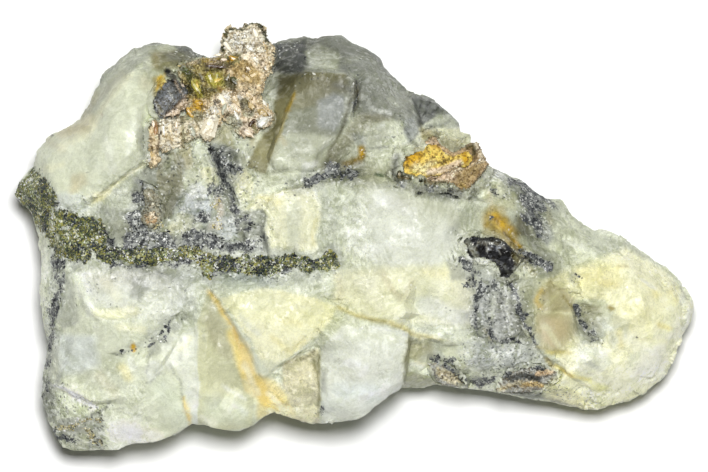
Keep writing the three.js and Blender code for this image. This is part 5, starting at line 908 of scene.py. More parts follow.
# Where the calcite is full of small bright and dark flecks; the bright flecks are partly painted
# glints.
FLECKED = [
    area(0.6, 3, -26, 10, -24, 12, -14, 13, -10.4, 6, -10.4, -1.4, -28, -2),
    area(0.25, 2, -37, -3, -20, -5, -20, -10, -34, -12, -38, -8),
    line(0.8, 2, 1.0, -37.4, -4, -38.4, -12, -39, -18),
    area(0.8, 2, -39.4, -17, -36, -19, -30, -21, -31, -27, -38, -27),
    line(0.45, 1.5, 1.4, -9, 23, -6, 24), line(0.4, 1.5, 1.2, 1, 23, 4, 19, 6, 15, 4, 11, -2, 9),
    line(0.5, 1.5, 0.8, -1.5, 19, -6, 20),
    area(0.9, 2, 14.6, -5, 20, -5, 22.6, -12, 24, -17, 13, -16.6, 14, -10),
    line(0.9, 1.5, 1.6, 19.6, 6.6, 23, 4.4, 23.4, 1), line(0.7, 1.5, 1.4, 13, -2, 22, -3.6),
    line(0.8, 1.2, 0.9, 10, -17.8, 16, -18.4, 25, -18.4, 30, -20.6),
    line(0.6, 1.2, 1.0, 16, 7.6, 19, 7), line(0.6, 1.2, 0.8, 28, -9, 30, -13),
    line(0.5, 1.2, 0.8, 23, -6, 23, -10), line(0.12, 1.2, 0.8, 17, 3, 19, 0),
    line(0.2, 1, 0.6, 19.6, -0.6, 21, -2.4), line(0.7, 1.0, 0.6, -5.5, 5.6, -8.5, 6),
    line(0.6, 1.2, 0.6, -35, 4, -33.4, 5), line(0.7, 1.0, 0.5, -22, 23.4, -18.6, 22.6),
    line(0.12, 3, 3, 30, -4, 37, -9, 34, -17), line(0.12, 2, 2, 2, -7, 12, -9),
]

# How thickly grains lie on the calcite.
VEIN_GRAINS = [
    area(0.88, 0.8, -42.6, 5.4, -41.5, 7.6, -40, 9, -38.6, 8.2, -37.6, 6, -36.6, 3.6, -33.4, 2.8,
         -32, 2.4, -31, 0.6, -30.8, -2.4, -34, -2.6, -37, -2.4, -38, -0.4, -39.6, 1.4, -40.2, 2.6,
         -42.2, 4.4),
    line(0.95, 0.6, 0.9, -31, -1.9, -27, -2.2, -22, -2.2, -18.4, -2.3),
    line(0.85, 0.7, 1.05, -18.6, -2.9, -14, -3.3, -10, -3.5),
    line(0.75, 0.7, 0.75, -10, -3.3, -5, -3, -3.4, -2.6),
    line(0.8, 0.6, 0.9, -3.2, -2.4, -2.9, -3.4), line(0.6, 0.6, 0.5, -18.2, -4.4, -17.4, -4.6),
]
DARK_GRAINS = [
    line(0.7, 0.8, 0.7, -18, -3.2, -12, -3.6, -8, -3.5), line(0.6, 0.8, 0.5, -7, -3.3, -3.6, -3),
    line(0.4, 0.8, 0.6, -41, 6.6, -39, 6, -37.6, 4),
    line(0.6, 0.8, 0.5, -30.6, -1.4, -24, -2.6, -18, -2.4),
    line(0.85, 0.7, 0.5, -31.6, 1.6, -30.6, 0.6, -30.2, -0.4),
    area(0.8, 0.8, -28.6, -1.8, -28.6, 0.2, -27.9, 1.4, -28, 3, -26.6, 3.2, -26, 1.4, -24, 0.6,
         -22, 0, -22, -1.6),
    line(0.9, 0.5, 0.6, -28.7, -1.5, -28.2, -1.8), line(0.95, 0.6, 0.8, -27.4, 2.4, -26.6, 0.8),
    line(0.6, 0.6, 0.6, -16.2, 9.6, -15.2, 8.6),
    area(0.5, 1.0, -27.4, 7.6, -26.4, 7.6, -25.6, 5.6, -24.4, 4.8, -24.4, 3.4, -26.2, 2.6,
         -27.6, 3.6, -27.9, 6),
    area(0.8, 0.8, -22, -1.6, -21.4, 0.4, -20, 1.2, -18.6, 0.6, -17, 0.4, -16, -0.6, -14.6, -0.8,
         -13, -0.2, -12.4, -1.8),
    line(0.8, 0.6, 0.6, -19.2, 2.4, -18.2, 2.2),
    area(0.25, 0.8, -15.6, 3.6, -13.6, 3.6, -11, 1.4, -10.6, -1.6, -14, -1.4, -15.4, 1),
    line(0.8, 0.5, 0.35, -17.6, 11.2, -17, 9.2, -16.4, 7.6, -15.5, 5.4, -15.2, 3.4),
    area(0.4, 0.8, -17, 10.4, -15.8, 11.4, -14.6, 10.2, -13.8, 8.6, -15.6, 7.2, -16.6, 8),
    line(0.35, 0.8, 0.6, -17.6, 6.6, -16.6, 5, -15.4, 4),
    line(0.7, 0.5, 0.5, -18.4, -3, -17.2, -4.2, -15, -3.8, -12, -4, -9, -4.2),
    line(0.8, 0.5, 0.45, -6.2, 7.3, -5, 7.6, -2.4, 7.6, 0.2, 8),
    line(0.6, 0.6, 0.5, -6.2, 6.6, -5.6, 6.8),
    area(0.6, 0.8, -4, 9.6, -1.6, 9.4, 0.4, 8.8, 0, 7, -3.6, 7),
    line(0.5, 0.5, 0.3, -8.2, 6.7, -7.8, 6.5),
    # down the left side
    line(0.85, 0.7, 0.8, -36.5, -2.6, -36.4, -5.2),
    line(0.7, 0.6, 0.4, -36.6, -6.4, -37.2, -7.6, -37.6, -9.6, -37.6, -11.6, -38, -13.6),
    line(0.5, 0.6, 0.4, -38.2, -14.4, -38.4, -17, -38.6, -19.4),
    line(0.6, 0.6, 0.5, -35, -2.6, -32.6, -2.7),
    line(0.5, 0.6, 0.3, -31, -3.2, -27, -3.6, -22, -3.4),
    # crack in the lower left
    line(0.6, 0.6, 0.4, -22.7, -10.3, -23.4, -11.6, -24.4, -12.4),
    line(0.45, 0.5, 0.25, -24.4, -12.4, -26, -13.6, -29.4, -14.7),
    line(0.3, 0.5, 0.25, -38.6, -17.6, -36.4, -18.4),
    line(0.6, 0.7, 0.7, -37.6, -24.6, -35.6, -25.4),
    # top rim
    area(0.2, 0.8, -10.4, 21, -10, 24.2, -8, 24.6, -6, 24.6, -5.8, 23, -6.2, 21),
    line(0.6, 0.4, 0.25, 0.3, 19.4, 0.3, 16), line(0.5, 0.4, 0.25, -22.4, 23.8, -20, 22.9),
    # right
    area(0.75, 0.9, 20.4, 2.8, 20.8, 6, 22.6, 6.4, 24.2, 4.6, 23, 2.6, 21.4, 1.2),
    line(0.5, 0.8, 0.6, 16.6, 6.4, 18.6, 5.6), line(0.8, 0.3, 0.25, 24.4, -3.4, 24.6, -3.7),
    line(0.7, 0.3, 0.25, 27.6, -5, 27.9, -5.1), line(0.8, 0.3, 0.2, 12.4, 0.5),
    line(0.5, 0.5, 0.3, 17.4, -5.4, 15.8, -7.4, 14.9, -10, 15.2, -12),
    line(0.7, 0.5, 0.35, 19.6, -5.6, 20.4, -8.4, 21, -10.4, 22.4, -13),
    line(0.55, 0.5, 0.3, 15.8, -5.2, 15.1, -8, 15.3, -11.4),
    line(0.5, 0.5, 0.25, 17.6, -5.2, 16.8, -7.4),
    line(0.5, 0.5, 0.3, 16.6, -11.8, 19.4, -12.6, 21, -13.4),
    line(0.85, 0.5, 0.45, 21, -1.9, 22.4, -2.8, 24.2, -3.9),
    line(0.8, 0.6, 0.5, 22.8, 2.4, 23.2, 0.6),
    line(0.7, 0.5, 0.3, 19.4, 7, 21.4, 6.4, 23.6, 4.8, 25, 3.6),
    line(0.3, 0.8, 0.5, 16.6, -8, 17, -11.4, 19, -10.6),
    line(0.45, 0.8, 0.5, 13, -2.6, 15.4, -4.4, 14.4, -6),
    line(0.55, 0.6, 0.35, 27.6, -8.8, 28, -10.4, 28.8, -11.6, 30.2, -12.2, 29.6, -13),
    line(0.4, 0.5, 0.3, 31.6, -8.6, 32.4, -8.8), line(0.6, 0.7, 0.5, 10.4, -15.4, 12.4, -15.8),
    line(0.6, 0.6, 0.35, 9.6, -15.6, 11.6, -16.6, 14, -17.8, 17.4, -17.6, 19.6, -16.8, 23.4, -16.2),
    line(0.5, 0.5, 0.3, 20, -17.4, 22.6, -17.2), line(0.35, 0.6, 0.3, 14.8, -13.4, 13.4, -15.4),
    # the second stroke lays dark grains along the painted shadow under the curled leaf, standing
    # partly for that shadow
    line(0.5, 0.5, 0.5, -3.9, -21.6), line(0.35, 0.6, 0.4, 5.6, 6.7, 8, 6.2, 11, 5.8, 13.6, 5.4),
    line(0.4, 0.5, 0.3, 17.2, 2.6, 18.6, 0.8),
]
COPPER_GRAINS = [
    line(0.95, 0.5, 0.75, -25.2, 2.6, -24.9, 2), line(0.7, 0.5, 0.3, -25.6, 5.4, -25.3, 5.1),
    line(0.5, 0.5, 0.3, -25.2, 4.4, -24.9, 3.4), line(0.75, 0.5, 0.3, -25, 9.8, -25.2, 8.9),
    line(0.6, 0.6, 0.5, -17.2, 4.6, -16.8, 3.2, -17.2, 1.6),
    line(0.7, 0.5, 0.35, -17.4, 1.6, -16.8, 1.4), line(0.35, 0.5, 0.35, -24.4, 6.6, -24.8, 8.2),
    line(0.75, 0.5, 0.3, -37.4, -24, -35.4, -23.6, -33.4, -23, -31.8, -22.6),
    line(0.6, 0.5, 0.4, -34, -23.4, -32.6, -24.6, -32, -26),
]

# ---------------------------------------------------------------- meshes


def node_mesh(name):
    """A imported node's vertices in millimetres, with the doubled ones joined."""
    bm = bmesh.new()
    bm.from_mesh(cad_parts[name].data)
    bmesh.ops.scale(bm, vec=(MM_PER_METRE,) * 3, verts=bm.verts)
    bmesh.ops.remove_doubles(bm, verts=bm.verts, dist=0.002)
    return bm


def refined(bm, levels, soft_angle, sharp_angle, crease):
    """The mesh after Catmull-Clark subdivision, with its sharp edges kept."""
    layer = bm.edges.layers.float.new("crease_edge")
    for edge in bm.edges:
        if len(edge.link_faces) == 2:
            angle = math.degrees(edge.calc_face_angle())
            t = min(1, max(0, (angle - soft_angle) / (sharp_angle - soft_angle)))
            edge[layer] = crease * t
    mesh = bpy.data.meshes.new("work")
    bm.to_mesh(mesh)
    bm.free()
    obj = bpy.data.objects.new("work", mesh)
    bpy.context.scene.collection.objects.link(obj)
    modifier = obj.modifiers.new("fine", "SUBSURF")
    modifier.levels = levels
    modifier.boundary_smooth = "ALL"
    evaluated = obj.evaluated_get(bpy.context.evaluated_depsgraph_get())
    result = bpy.data.meshes.new_from_object(evaluated)
    bpy.data.objects.remove(obj)
    bpy.data.meshes.remove(mesh)
    if "crease_edge" in result.attributes:
        result.attributes.remove(result.attributes["crease_edge"])
    return result


def vertex_triples(mesh, what):
    flat = np.empty(len(mesh.vertices) * 3, np.float32)
    mesh.vertices.foreach_get(what, flat)
    return flat.reshape(-1, 3).astype(float)


def coordinates(mesh):
    return vertex_triples(mesh, "co")


def normals(mesh):
    return vertex_triples(mesh, "normal")


def edge_ends(mesh):
    """The indices of the first and of the second vertex of every edge."""
    ends = np.empty(len(mesh.edges) * 2, np.int32)
    mesh.edges.foreach_get("vertices", ends)
    return ends[::2], ends[1::2]


def in_mm(box):
    return [np.array(corner) * MM_PER_METRE for corner in box]


def put_coordinates(mesh, xyz):
    mesh.vertices.foreach_set("co", xyz.astype(np.float32).ravel())
    mesh.update()


def put_number(mesh, name, values):
    data = mesh.attributes.new(name, "FLOAT", "POINT").data
    data.foreach_set("value", values.astype(np.float32))


def put_colour(mesh, name, rgb):
    rgba = np.concatenate([rgb, np.ones((len(rgb), 1))], axis=1).astype(np.float32)
    mesh.attributes.new(name, "FLOAT_COLOR", "POINT").data.foreach_set("color", rgba.ravel())


def piece(name, mesh, material, node=None):
    """An object from a mesh in millimetres."""
    put_coordinates(mesh, coordinates(mesh) * MM)
    obj = bpy.data.objects.new(name, mesh)
    bpy.context.scene.collection.objects.link(obj)
    mesh.materials.clear()
    mesh.materials.append(material)
    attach(obj, "root")
    if node:
        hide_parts(node)
    return obj


# ---------------------------------------------------------------- materials


class Nodes:
    """A short way to write a material's nodes."""

    def __init__(self, name):
        self.material = bpy.data.materials.new(name)
        self.material.use_nodes = True
        self.tree = self.material.node_tree
        self.tree.nodes.clear()
        self.output = self.tree.nodes.new("ShaderNodeOutputMaterial")
        self.shader = self.make("ShaderNodeBsdfPrincipled")
        self.link(self.shader.outputs[0], self.output.inputs["Surface"])

    def make(self, kind, inputs=None, **settings):
        node = self.tree.nodes.new(kind)
        for key, value in settings.items():
            setattr(node, key, value)
        for key, value in (inputs or {}).items():
            self.put(node.inputs[key], value)
        return node

    def link(self, a, b):
        self.tree.links.new(a, b)

    def put(self, socket, value):
        if isinstance(value, bpy.types.NodeSocket):
            self.link(value, socket)
        else:
            socket.default_value = value

    def set(self, **inputs):
        for key, value in inputs.items():
            self.put(self.shader.inputs[key.replace("_", " ")], value)

    def place(self):
        return self.make("ShaderNodeTexCoord").outputs["Object"]

    def number(self, name):
        return self.make("ShaderNodeAttribute", attribute_name=name).outputs["Fac"]

    def colour(self, name):
        return self.make("ShaderNodeAttribute", attribute_name=name).outputs["Color"]

    def noise(self, size_mm, detail=3, roughness=0.55, distortion=0, where=None, output="Fac"):
        node = self.make("ShaderNodeTexNoise", {
            "Vector": where or self.place(), "Scale": 1 / (size_mm * MM), "Detail": detail,
            "Roughness": roughness, "Distortion": distortion})
        return node.outputs[output]

    def voronoi(self, size_mm, output="Distance", where=None):
        node = self.make("ShaderNodeTexVoronoi", {
            "Vector": where or self.place(), "Scale": 1 / (size_mm * MM)})
        return node.outputs[output]

    def share(self, colour, channel):
        return self.make("ShaderNodeSeparateColor", {"Color": colour}).outputs[channel]

    def math(self, operation, a, b=0.0, c=0.0):
        node = self.make("ShaderNodeMath", {0: a, 1: b, 2: c}, operation=operation)
        return node.outputs[0]

    def vector(self, operation, *values, **named):
        inputs = {**dict(enumerate(values)), **named}
        return self.make("ShaderNodeVectorMath", inputs, operation=operation).outputs[0]

    def range(self, value, low, high, to_low=0.0, to_high=1.0):
        node = self.make("ShaderNodeMapRange", {
            "Value": value, "From Min": low, "From Max": high, "To Min": to_low, "To Max": to_high})
        return node.outputs["Result"]

    def mix(self, factor, a, b, blend="MIX"):
        node = self.make("ShaderNodeMix", data_type="RGBA", blend_type=blend)
        self.put(node.inputs["Factor"], factor)
        for socket, value in ((node.inputs[6], a), (node.inputs[7], b)):
            if not isinstance(value, bpy.types.NodeSocket):
                value = (*value, 1.0)
            self.put(socket, value)
        return node.outputs[2]

    def times(self, colour, factor):
        return self.mix(1.0, colour, factor, "MULTIPLY")

    def ramp(self, value, stops):
        node = self.make("ShaderNodeValToRGB", {"Fac": value})
        ramp = node.color_ramp
        while len(ramp.elements) < len(stops):
            ramp.elements.new(0.5)
        for element, (at, colour) in zip(ramp.elements, stops):
            element.position = at
            element.color = (*linear(colour), 1.0)
        return node.outputs["Color"]

    def bump(self, height, distance_mm, strength, normal=None):
        node = self.make("ShaderNodeBump", {
            "Strength": strength, "Distance": distance_mm * MM, "Height": height})
        if normal:
            self.put(node.inputs["Normal"], normal)
        return node.outputs["Normal"]


# Between the raised grains the stone is a mosaic of the same grains: number, size of a grain, and
# how dark to light they are.
MOSAICS = (
    ("dark", 0.42, [(0.0, (44, 46, 48)), (0.35, (78, 81, 82)), (0.6, (118, 121, 118)),
                    (0.85, (168, 171, 163))]),
    ("vein", 0.46, [(0.0, (40, 42, 40)), (0.25, (78, 80, 58)), (0.5, (128, 128, 66)),
                    (0.75, (168, 166, 92)), (0.95, (212, 212, 178))]))
# The flecks: the channel that picks them, their share and their colour. The bright ones are partly
# painted glints.
FLECKS_AND_GLINTS = (("Red", 0.17, (62, 66, 66)), ("Blue", 0.1, (246, 248, 240)))
MIDDLE = (0.5, 0.5, 0.5)
VEIL_WHITE = (246, 247, 238)


def calcite_material():
    n = Nodes("calcite")
    tint, rough, fleck, where = n.colour("tint"), n.number("rough"), n.number("fleck"), n.place()

    def rougher(smooth_value, rough_value):
        """From one value on smooth ground to another on rough ground."""
        return n.range(rough, 0, 1, smooth_value, rough_value)

    # the place, bent a little, so that the grain of the stone has no straight edges
    bend = n.vector("SUBTRACT", n.noise(1.8, 2.0, 0.5, where=where, output="Color"), MIDDLE)
    bent = n.vector("MULTIPLY_ADD", bend, (0.7 * MM,) * 3, where)
    large, middle, small = (n.voronoi(size, "Color", bent) for size in (2.4, 1.0, 0.42))

    tone = n.math("MULTIPLY_ADD", n.share(large, "Red"), 0.07, 0.965)
    tone = n.math("MULTIPLY", tone, n.math("MULTIPLY_ADD", n.share(middle, "Red"), 0.09, 0.955))
    small_tone = n.math("MULTIPLY_ADD", n.share(small, "Red"), rougher(0.03, 0.16), 0.95)
    tone = n.math("MULTIPLY", tone, small_tone)
    # fine streaks along each crystal's cleavage, and pale and dark veils torn by them
    angle = n.math("MULTIPLY", n.share(large, "Green"), 3.14)
    turned = n.make("ShaderNodeVectorRotate", {"Vector": bent, "Angle": angle},
                    rotation_type="Z_AXIS").outputs[0]
    streak = n.noise(0.5, 5, 0.6, where=n.vector("MULTIPLY", turned, (0.22, 1.0, 1.0)))
    veil = n.range(n.math("ADD", n.noise(1.9, 7, 0.66, 0.1), streak), 1.04, 1.16)
    dim = n.range(n.math("SUBTRACT", n.noise(2.3, 7, 0.68, 0.1, bent), streak), 0.0, 0.14)
    strength = n.math("MULTIPLY_ADD", fleck, 0.35, rougher(0.24, 0.6))
    colour = n.mix(n.math("MULTIPLY", dim, strength), tint, n.times(tint, (0.7, 0.72, 0.6)))
    pale = n.mix(0.2, n.times(tint, (1.22, 1.22, 1.26)), tuple(linear(VEIL_WHITE)))
    colour = n.mix(n.math("MULTIPLY", veil, strength), colour, pale)
    grit = n.range(n.noise(0.22, 3, 0.7), 0.34, 0.66, -0.15, 0.14)
    tone = n.math("MULTIPLY", tone, n.math("MULTIPLY_ADD", grit, rougher(0.4, 1.0), 1.0))
    grey = n.make("ShaderNodeCombineColor", {"Red": tone, "Green": tone, "Blue": tone}).outputs[0]
    colour = n.times(colour, grey)
    # hairline cracks, here and there
    wander = n.noise(3.4, 6, 0.62, 0.4)
    crack = n.range(n.math("ABSOLUTE", n.math("SUBTRACT", wander, 0.5)), 0.002, 0.009, 1.0, 0.0)
    patchy = n.range(n.noise(4.5, 2), 0.48, 0.6)
    crack = n.math("MULTIPLY", n.math("MULTIPLY", crack, patchy), rougher(0.15, 0.55))
    colour = n.mix(crack, colour, n.times(colour, (0.42, 0.42, 0.38)))
    for name, size, stops in MOSAICS:
        cell = n.voronoi(size, "Color", bent)
        here = n.math("LESS_THAN", n.share(cell, "Green"), n.math("MULTIPLY", n.number(name), 0.9))
        lean = n.range(n.noise(1.3, 3), 0.35, 0.65, -0.1, 0.4)
        pick = n.math("MULTIPLY_ADD", n.share(cell, "Red"), 0.7, lean)
        colour = n.mix(here, colour, n.ramp(pick, stops))
    # dark flecks, and bright flecks that are partly painted glints
    speck = n.voronoi(0.24, "Color", bent)
    for channel, amount, to in FLECKS_AND_GLINTS:
        here = n.math("LESS_THAN", n.share(speck, channel), n.math("MULTIPLY", fleck, amount))
        here = n.math("MULTIPLY", here, n.range(n.share(speck, "Green"), 0, 1, 0.15, 0.7))
        colour = n.mix(here, colour, tuple(linear(to)))
    # each crystal's face is tilted a little
    normal = n.make("ShaderNodeNewGeometry").outputs["Normal"]
    for crystal, smooth_tilt, rough_tilt in (
            (large, 0.06, 0.14), (middle, 0.05, 0.16), (small, 0.03, 0.2)):
        off = n.vector("SUBTRACT", crystal, MIDDLE)
        off = n.vector("SCALE", off, Scale=rougher(smooth_tilt, rough_tilt))
        normal = n.vector("ADD", normal, off)
    normal = n.vector("NORMALIZE", normal)
    n.set(Base_Color=colour, Roughness=n.range(n.share(small, "Green"), 0, 1, 0.3, 0.6), IOR=1.5,
          Specular_IOR_Level=0.3,
          Normal=n.bump(n.noise(0.45, 4, 0.6), 0.07, rougher(0.25, 0.7), normal))
    n.set(Subsurface_Weight=0.4, Subsurface_Scale=1.2 * MM, Subsurface_Radius=(1.0, 0.95, 0.75))
    return n.material


def grain_material(name, metallic, roughness):
    n = Nodes(name)
    speck = n.range(n.noise(0.12, 2), 0.35, 0.65, 0.0, 0.5)
    gloss = n.range(n.number("chance"), 0, 1, roughness - 0.12, roughness + 0.15)
    n.set(Base_Color=n.mix(speck, n.colour("tint"), (0.02, 0.02, 0.02)), Metallic=metallic,
          Roughness=gloss, Normal=n.bump(n.noise(0.1, 2), 0.03, 0.7))
    return n.material


# How dark to light the metals' specks are: the light end is partly painted highlight, the dark end
# partly painted shade.
SPECK_LIGHT_AND_SHADE_RAMP = [(0.0, (160, 148, 126)), (0.25, (216, 208, 192)), (0.5, (242, 238, 230)),
              (1.0, (255, 255, 255))]


def metal_material(name, metallic, roughness, speck, pits):
    """Silver, ochre or sulphide: specks of their own tone and tilt, their lightness partly painted
    highlight and painted shade, with painted shade in dark crevices.
    """
    n = Nodes(name)
    light = n.share(n.voronoi(speck, "Color"), "Red")
    colour = n.times(n.colour("tint"), n.ramp(light, SPECK_LIGHT_AND_SHADE_RAMP))
    # painted shade in crevices
    crevice_shade = n.range(n.noise(1.2, 7, 0.75), 0.36, 0.45, 0.85, 0.0)
    colour = n.mix(crevice_shade, colour, n.times(colour, (0.16, 0.13, 0.1)))
    height = n.math("ADD", n.voronoi(speck), n.noise(0.3, 3))
    n.set(Base_Color=colour, Metallic=metallic,
          Roughness=n.range(light, 0, 1, roughness - 0.1, roughness + 0.2),
          Normal=n.bump(height, 0.14, pits))
    return n.material


# ---------------------------------------------------------------- grains


def surface_points(mesh, per_mm2, random):
    """Random points on a mesh, and the surface's normal at each."""
    count = int(sum(p.area for p in mesh.polygons) * per_mm2)
    mesh.calc_loop_triangles()
    corners = np.empty(len(mesh.loop_triangles) * 3, np.int32)
    mesh.loop_triangles.foreach_get("vertices", corners)
    corners = corners.reshape(-1, 3)
    xyz = coordinates(mesh)
    a, b, c = (xyz[corners[:, k]] for k in range(3))
    cross = np.cross(b - a, c - a)
    size = np.linalg.norm(cross, axis=1)
    pick = random.choice(len(corners), count, p=size / size.sum())
    u, v = random.random((2, count))
    over = u + v > 1
    u[over], v[over] = 1 - u[over], 1 - v[over]
    place = a[pick] + u[:, None] * (b - a)[pick] + v[:, None] * (c - a)[pick]
    return place, cross[pick] / size[pick, None]


def grain_mesh(name, places, directions, radii, colours, random, flatness, sink, stretch=1.0):
    """One mesh of small broken grains, each sunk into the surface by a share of its radius."""
    places = places - directions * (radii * sink)[:, None]
    bm = bmesh.new()
    bmesh.ops.create_icosphere(bm, subdivisions=1, radius=1)
    shape = np.array([v.co[:] for v in bm.verts])
    faces = np.array([[v.index for v in f.verts] for f in bm.faces])
    bm.free()
    count, corners = len(places), len(shape)
    lumps = shape[None] * random.uniform(0.6, 1.25, (count, corners, 1))
    lumps *= random.uniform(0.65, 1.35, (count, 1, 3))
    lumps[:, :, 0] *= stretch
    # turned at random, and then flattened along the surface's normal
    turn = random.normal(size=(count, 3, 3))
    turn, _ = np.linalg.qr(turn)
    lumps = np.einsum("nij,nkj->nki", turn, lumps)
    along = np.einsum("nkj,nj->nk", lumps, directions)
    lumps -= ((1 - flatness) * along)[..., None] * directions[:, None]
    verts = places[:, None] + lumps * radii[:, None, None]
    mesh = bpy.data.meshes.new(name)
    offsets = (np.arange(count) * corners)[:, None, None]
    mesh.from_pydata(verts.reshape(-1, 3), [], (faces[None] + offsets).reshape(-1, 3).tolist())
    put_colour(mesh, "tint", np.repeat(np.clip(colours, 0, 1), corners, axis=0))
    put_number(mesh, "chance", np.repeat(random.random(count), corners))
    return mesh


def grains_on(mesh, name, strokes, per_mm2, radius, kinds, flatness, seed):
    """Grains where the strokes put them. Their kinds run from dark to light, and patches of the
    ground lean to one end."""
    random = np.random.default_rng(seed)
    places, directions = surface_points(mesh, per_mm2, random)
    wanted = density(places, strokes, seed, 0.5, RAGGED) * (directions[:, 2] > -0.3)
    kept = random.random(len(places)) < wanted
    places, directions = places[kept], directions[kept]
    radii = radius * random.uniform(0.55, 1.3, len(places))
    patch = smooth_noise(places, 1.5, seed + 30) + 0.6 * smooth_noise(places, 0.6, seed + 31)
    pick = 0.44 + 0.5 * patch + random.normal(0, 0.25, len(places))
    pick = np.clip(pick * len(kinds), 0, len(kinds) - 1).astype(int)
    colours = np.array([linear(colour) for colour in kinds])[pick]
    colours = colours * random.uniform(0.7, 1.3, (len(places), 1))
    return grain_mesh(name, places, directions, radii, colours, random, flatness, sink=0.3)


# Grains all over a piece: (how many in all, how light) of each kind. The lightest kinds are partly
# painted highlights and the darkest partly painted shade.
METAL_KINDS = np.array([(3, 1.0), (2, 0.7), (3, 1.2), (0.6, 0.35), (1.6, 1.5)])


def grains_over(mesh, name, per_mm2, radius, flatness, stretch, seed, strokes, start):
    """Small grains all over a piece, in the piece's own painted colours, some lighter and some
    darker."""
    random = np.random.default_rng(seed)
    places, directions = surface_points(mesh, per_mm2, random)
    kept = directions[:, 2] > 0.0
    places, directions = places[kept], directions[kept]
    radii = radius * random.uniform(0.5, 1.5, len(places))
    shares, lightness = METAL_KINDS.T
    pick = random.choice(len(METAL_KINDS), len(places), p=shares / shares.sum())
    colours = painted(places, start, strokes, seed, 0.25) * lightness[pick][:, None]
    return grain_mesh(
        name, places, directions, radii, colours, random, flatness, sink=0.25, stretch=stretch)


# ---------------------------------------------------------------- calcite


def soften(mesh, xyz, strokes, rounds):
    """Turns steps of the upper face into slopes along the strokes."""
    a, b = edge_ends(mesh)
    share = np.clip(density(xyz, strokes, 0, amount=0.0), 0, 1) * (xyz[:, 2] > UPPER_FACE_Z + 1)
    count = np.bincount(a, minlength=len(xyz)) + np.bincount(b, minlength=len(xyz))
    for _ in range(rounds):
        z = xyz[:, 2]
        mean = np.bincount(a, z[b], len(xyz)) + np.bincount(b, z[a], len(xyz))
        xyz[:, 2] += 0.7 * share * (mean / np.maximum(count, 1) - z)


# How wide the gap round a piece is at the most.
GAPS = {"silver_leaf": 1.4, "sulphide_knob": 1.0, "sulphide_lump": 0.9}
OTHER_GAPS = 0.75
GAP_ROUNDS, GAP_SLOPE = 9, 0.03   # a gap's bottom is this much lower at each vertex inwards
UPPER_FACE_Z = 8   # the upper face is all above this
ABOVE_ALL_Z = 50   # where rays start
AROUND = [(math.cos(math.radians(a)), math.sin(math.radians(a))) for a in range(0, 360, 45)]


def is_under(tree, x, y):
    return tree.ray_cast((x, y, ABOVE_ALL_Z), (0, 0, -1))[0] is not None


def close_gaps(mesh, xyz):
    """Lifts the bottom of the narrow gap round each piece up to the ground beside it, and says
    which points are in a gap."""
    near = np.zeros(len(xyz), bool)
    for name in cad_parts:
        if name == "calcite":
            continue
        tree = BVHTree.FromBMesh(node_mesh(name))
        reach = GAPS.get(name, OTHER_GAPS)
        low, high = in_mm(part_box(name))
        box = ((xyz[:, :2] > low[:2] - reach) & (xyz[:, :2] < high[:2] + reach)).all(axis=1)
        for i in np.flatnonzero(box & (xyz[:, 2] > UPPER_FACE_Z)):
            x, y = xyz[i, :2]
            if not is_under(tree, x, y):
                near[i] |= any(is_under(tree, x + reach * r * c, y + reach * r * s)
                               for r in (0.4, 0.7, 1.0) for c, s in AROUND)
    a, b = edge_ends(mesh)
    for _ in range(GAP_ROUNDS):
        top = xyz[:, 2].copy()
        np.maximum.at(top, a, xyz[b, 2] - GAP_SLOPE)
        np.maximum.at(top, b, xyz[a, 2] - GAP_SLOPE)
        xyz[near, 2] = top[near]
    return near


def fine_calcite():
    mesh = refined(node_mesh("calcite"), levels=2, soft_angle=14, sharp_angle=42, crease=0.9)
    xyz = coordinates(mesh)
    soften(mesh, xyz, SOFT_EDGES, rounds=60)
    gaps = close_gaps(mesh, xyz)
    put_coordinates(mesh, xyz)
    normal = normals(mesh)
    # broken ground: coarser towards the narrow end, and faint where the upper face is smooth
    rough = 0.15 + 0.85 * (1 - density(xyz, SMOOTH_GROUND, 9))
    up = rising(normal[:, 2], 0.05, 0.6)
    coarse = 0.2 + 0.14 * rising(xyz[:, 0], 22, 27)
    d = coarse * broken(xyz, 2.2, 3) + 0.07 * broken(xyz, 0.8, 21)
    xyz += normal * (d * (rough * up + 1 - up))[:, None]
    xyz = np.clip(xyz, *in_mm(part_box("calcite")))
    put_coordinates(mesh, xyz)
    colour = painted(xyz, "calcite", CALCITE_STROKES, 5, 0.3)
    # low on the sides and underneath, the stone is plain
    patches = np.clip(smooth_noise(xyz, 7, 33), -1, 1)[:, None]
    plain = linear(PALETTE["lobe"]) + 0.5 * patches * (
        linear(PALETTE["pale"]) - linear(PALETTE["sage"]))
    low = 0.75 * (1 - rising(xyz[:, 2], 4, 12)) * (1 - rising(normal[:, 2], 0.1, 0.5))
    colour += low[:, None] * (plain - colour)
    # a dark ground under and round the grains
    vein = density(xyz, VEIN_GRAINS, 41, 0.5, RAGGED)
    dark = density(xyz, DARK_GRAINS, 42, 0.5, RAGGED)
    both = DARK_GRAINS + VEIN_GRAINS
    smoke = 0.55 * density(xyz, both, 41, 0.9, ragged=0.2, spread=1.8)
    for amount, name in ((smoke, "smoke"), (0.8 * dark, "under_dark"), (0.8 * vein, "under_vein")):
        colour = blended(colour, amount, name)
    # broad painted light and painted shade, multiplied into the tint
    xy = warped(xyz, 0.5, 77)
    for factor, stroke in PAINTED_LIGHT_AND_SHADE:
        colour *= 1 + coverage(xy, stroke)[:, None] * (np.array(factor) - 1)
    # painted shade in the gap round each piece
    colour = blended(colour, 0.3 * gaps, "gap")
    fleck = 0.7 * density(xyz, both, 51, 0.9, ragged=0.2, spread=0.8)
    fleck = np.clip(fleck + density(xyz, FLECKED, 52, 0.8, ragged=0.3), 0, 1)
    put_colour(mesh, "tint", np.clip(colour, 0, 0.96))
    for name, values in (("fleck", fleck), ("vein", vein), ("dark", dark), ("rough", rough)):
        put_number(mesh, name, values)
    return mesh


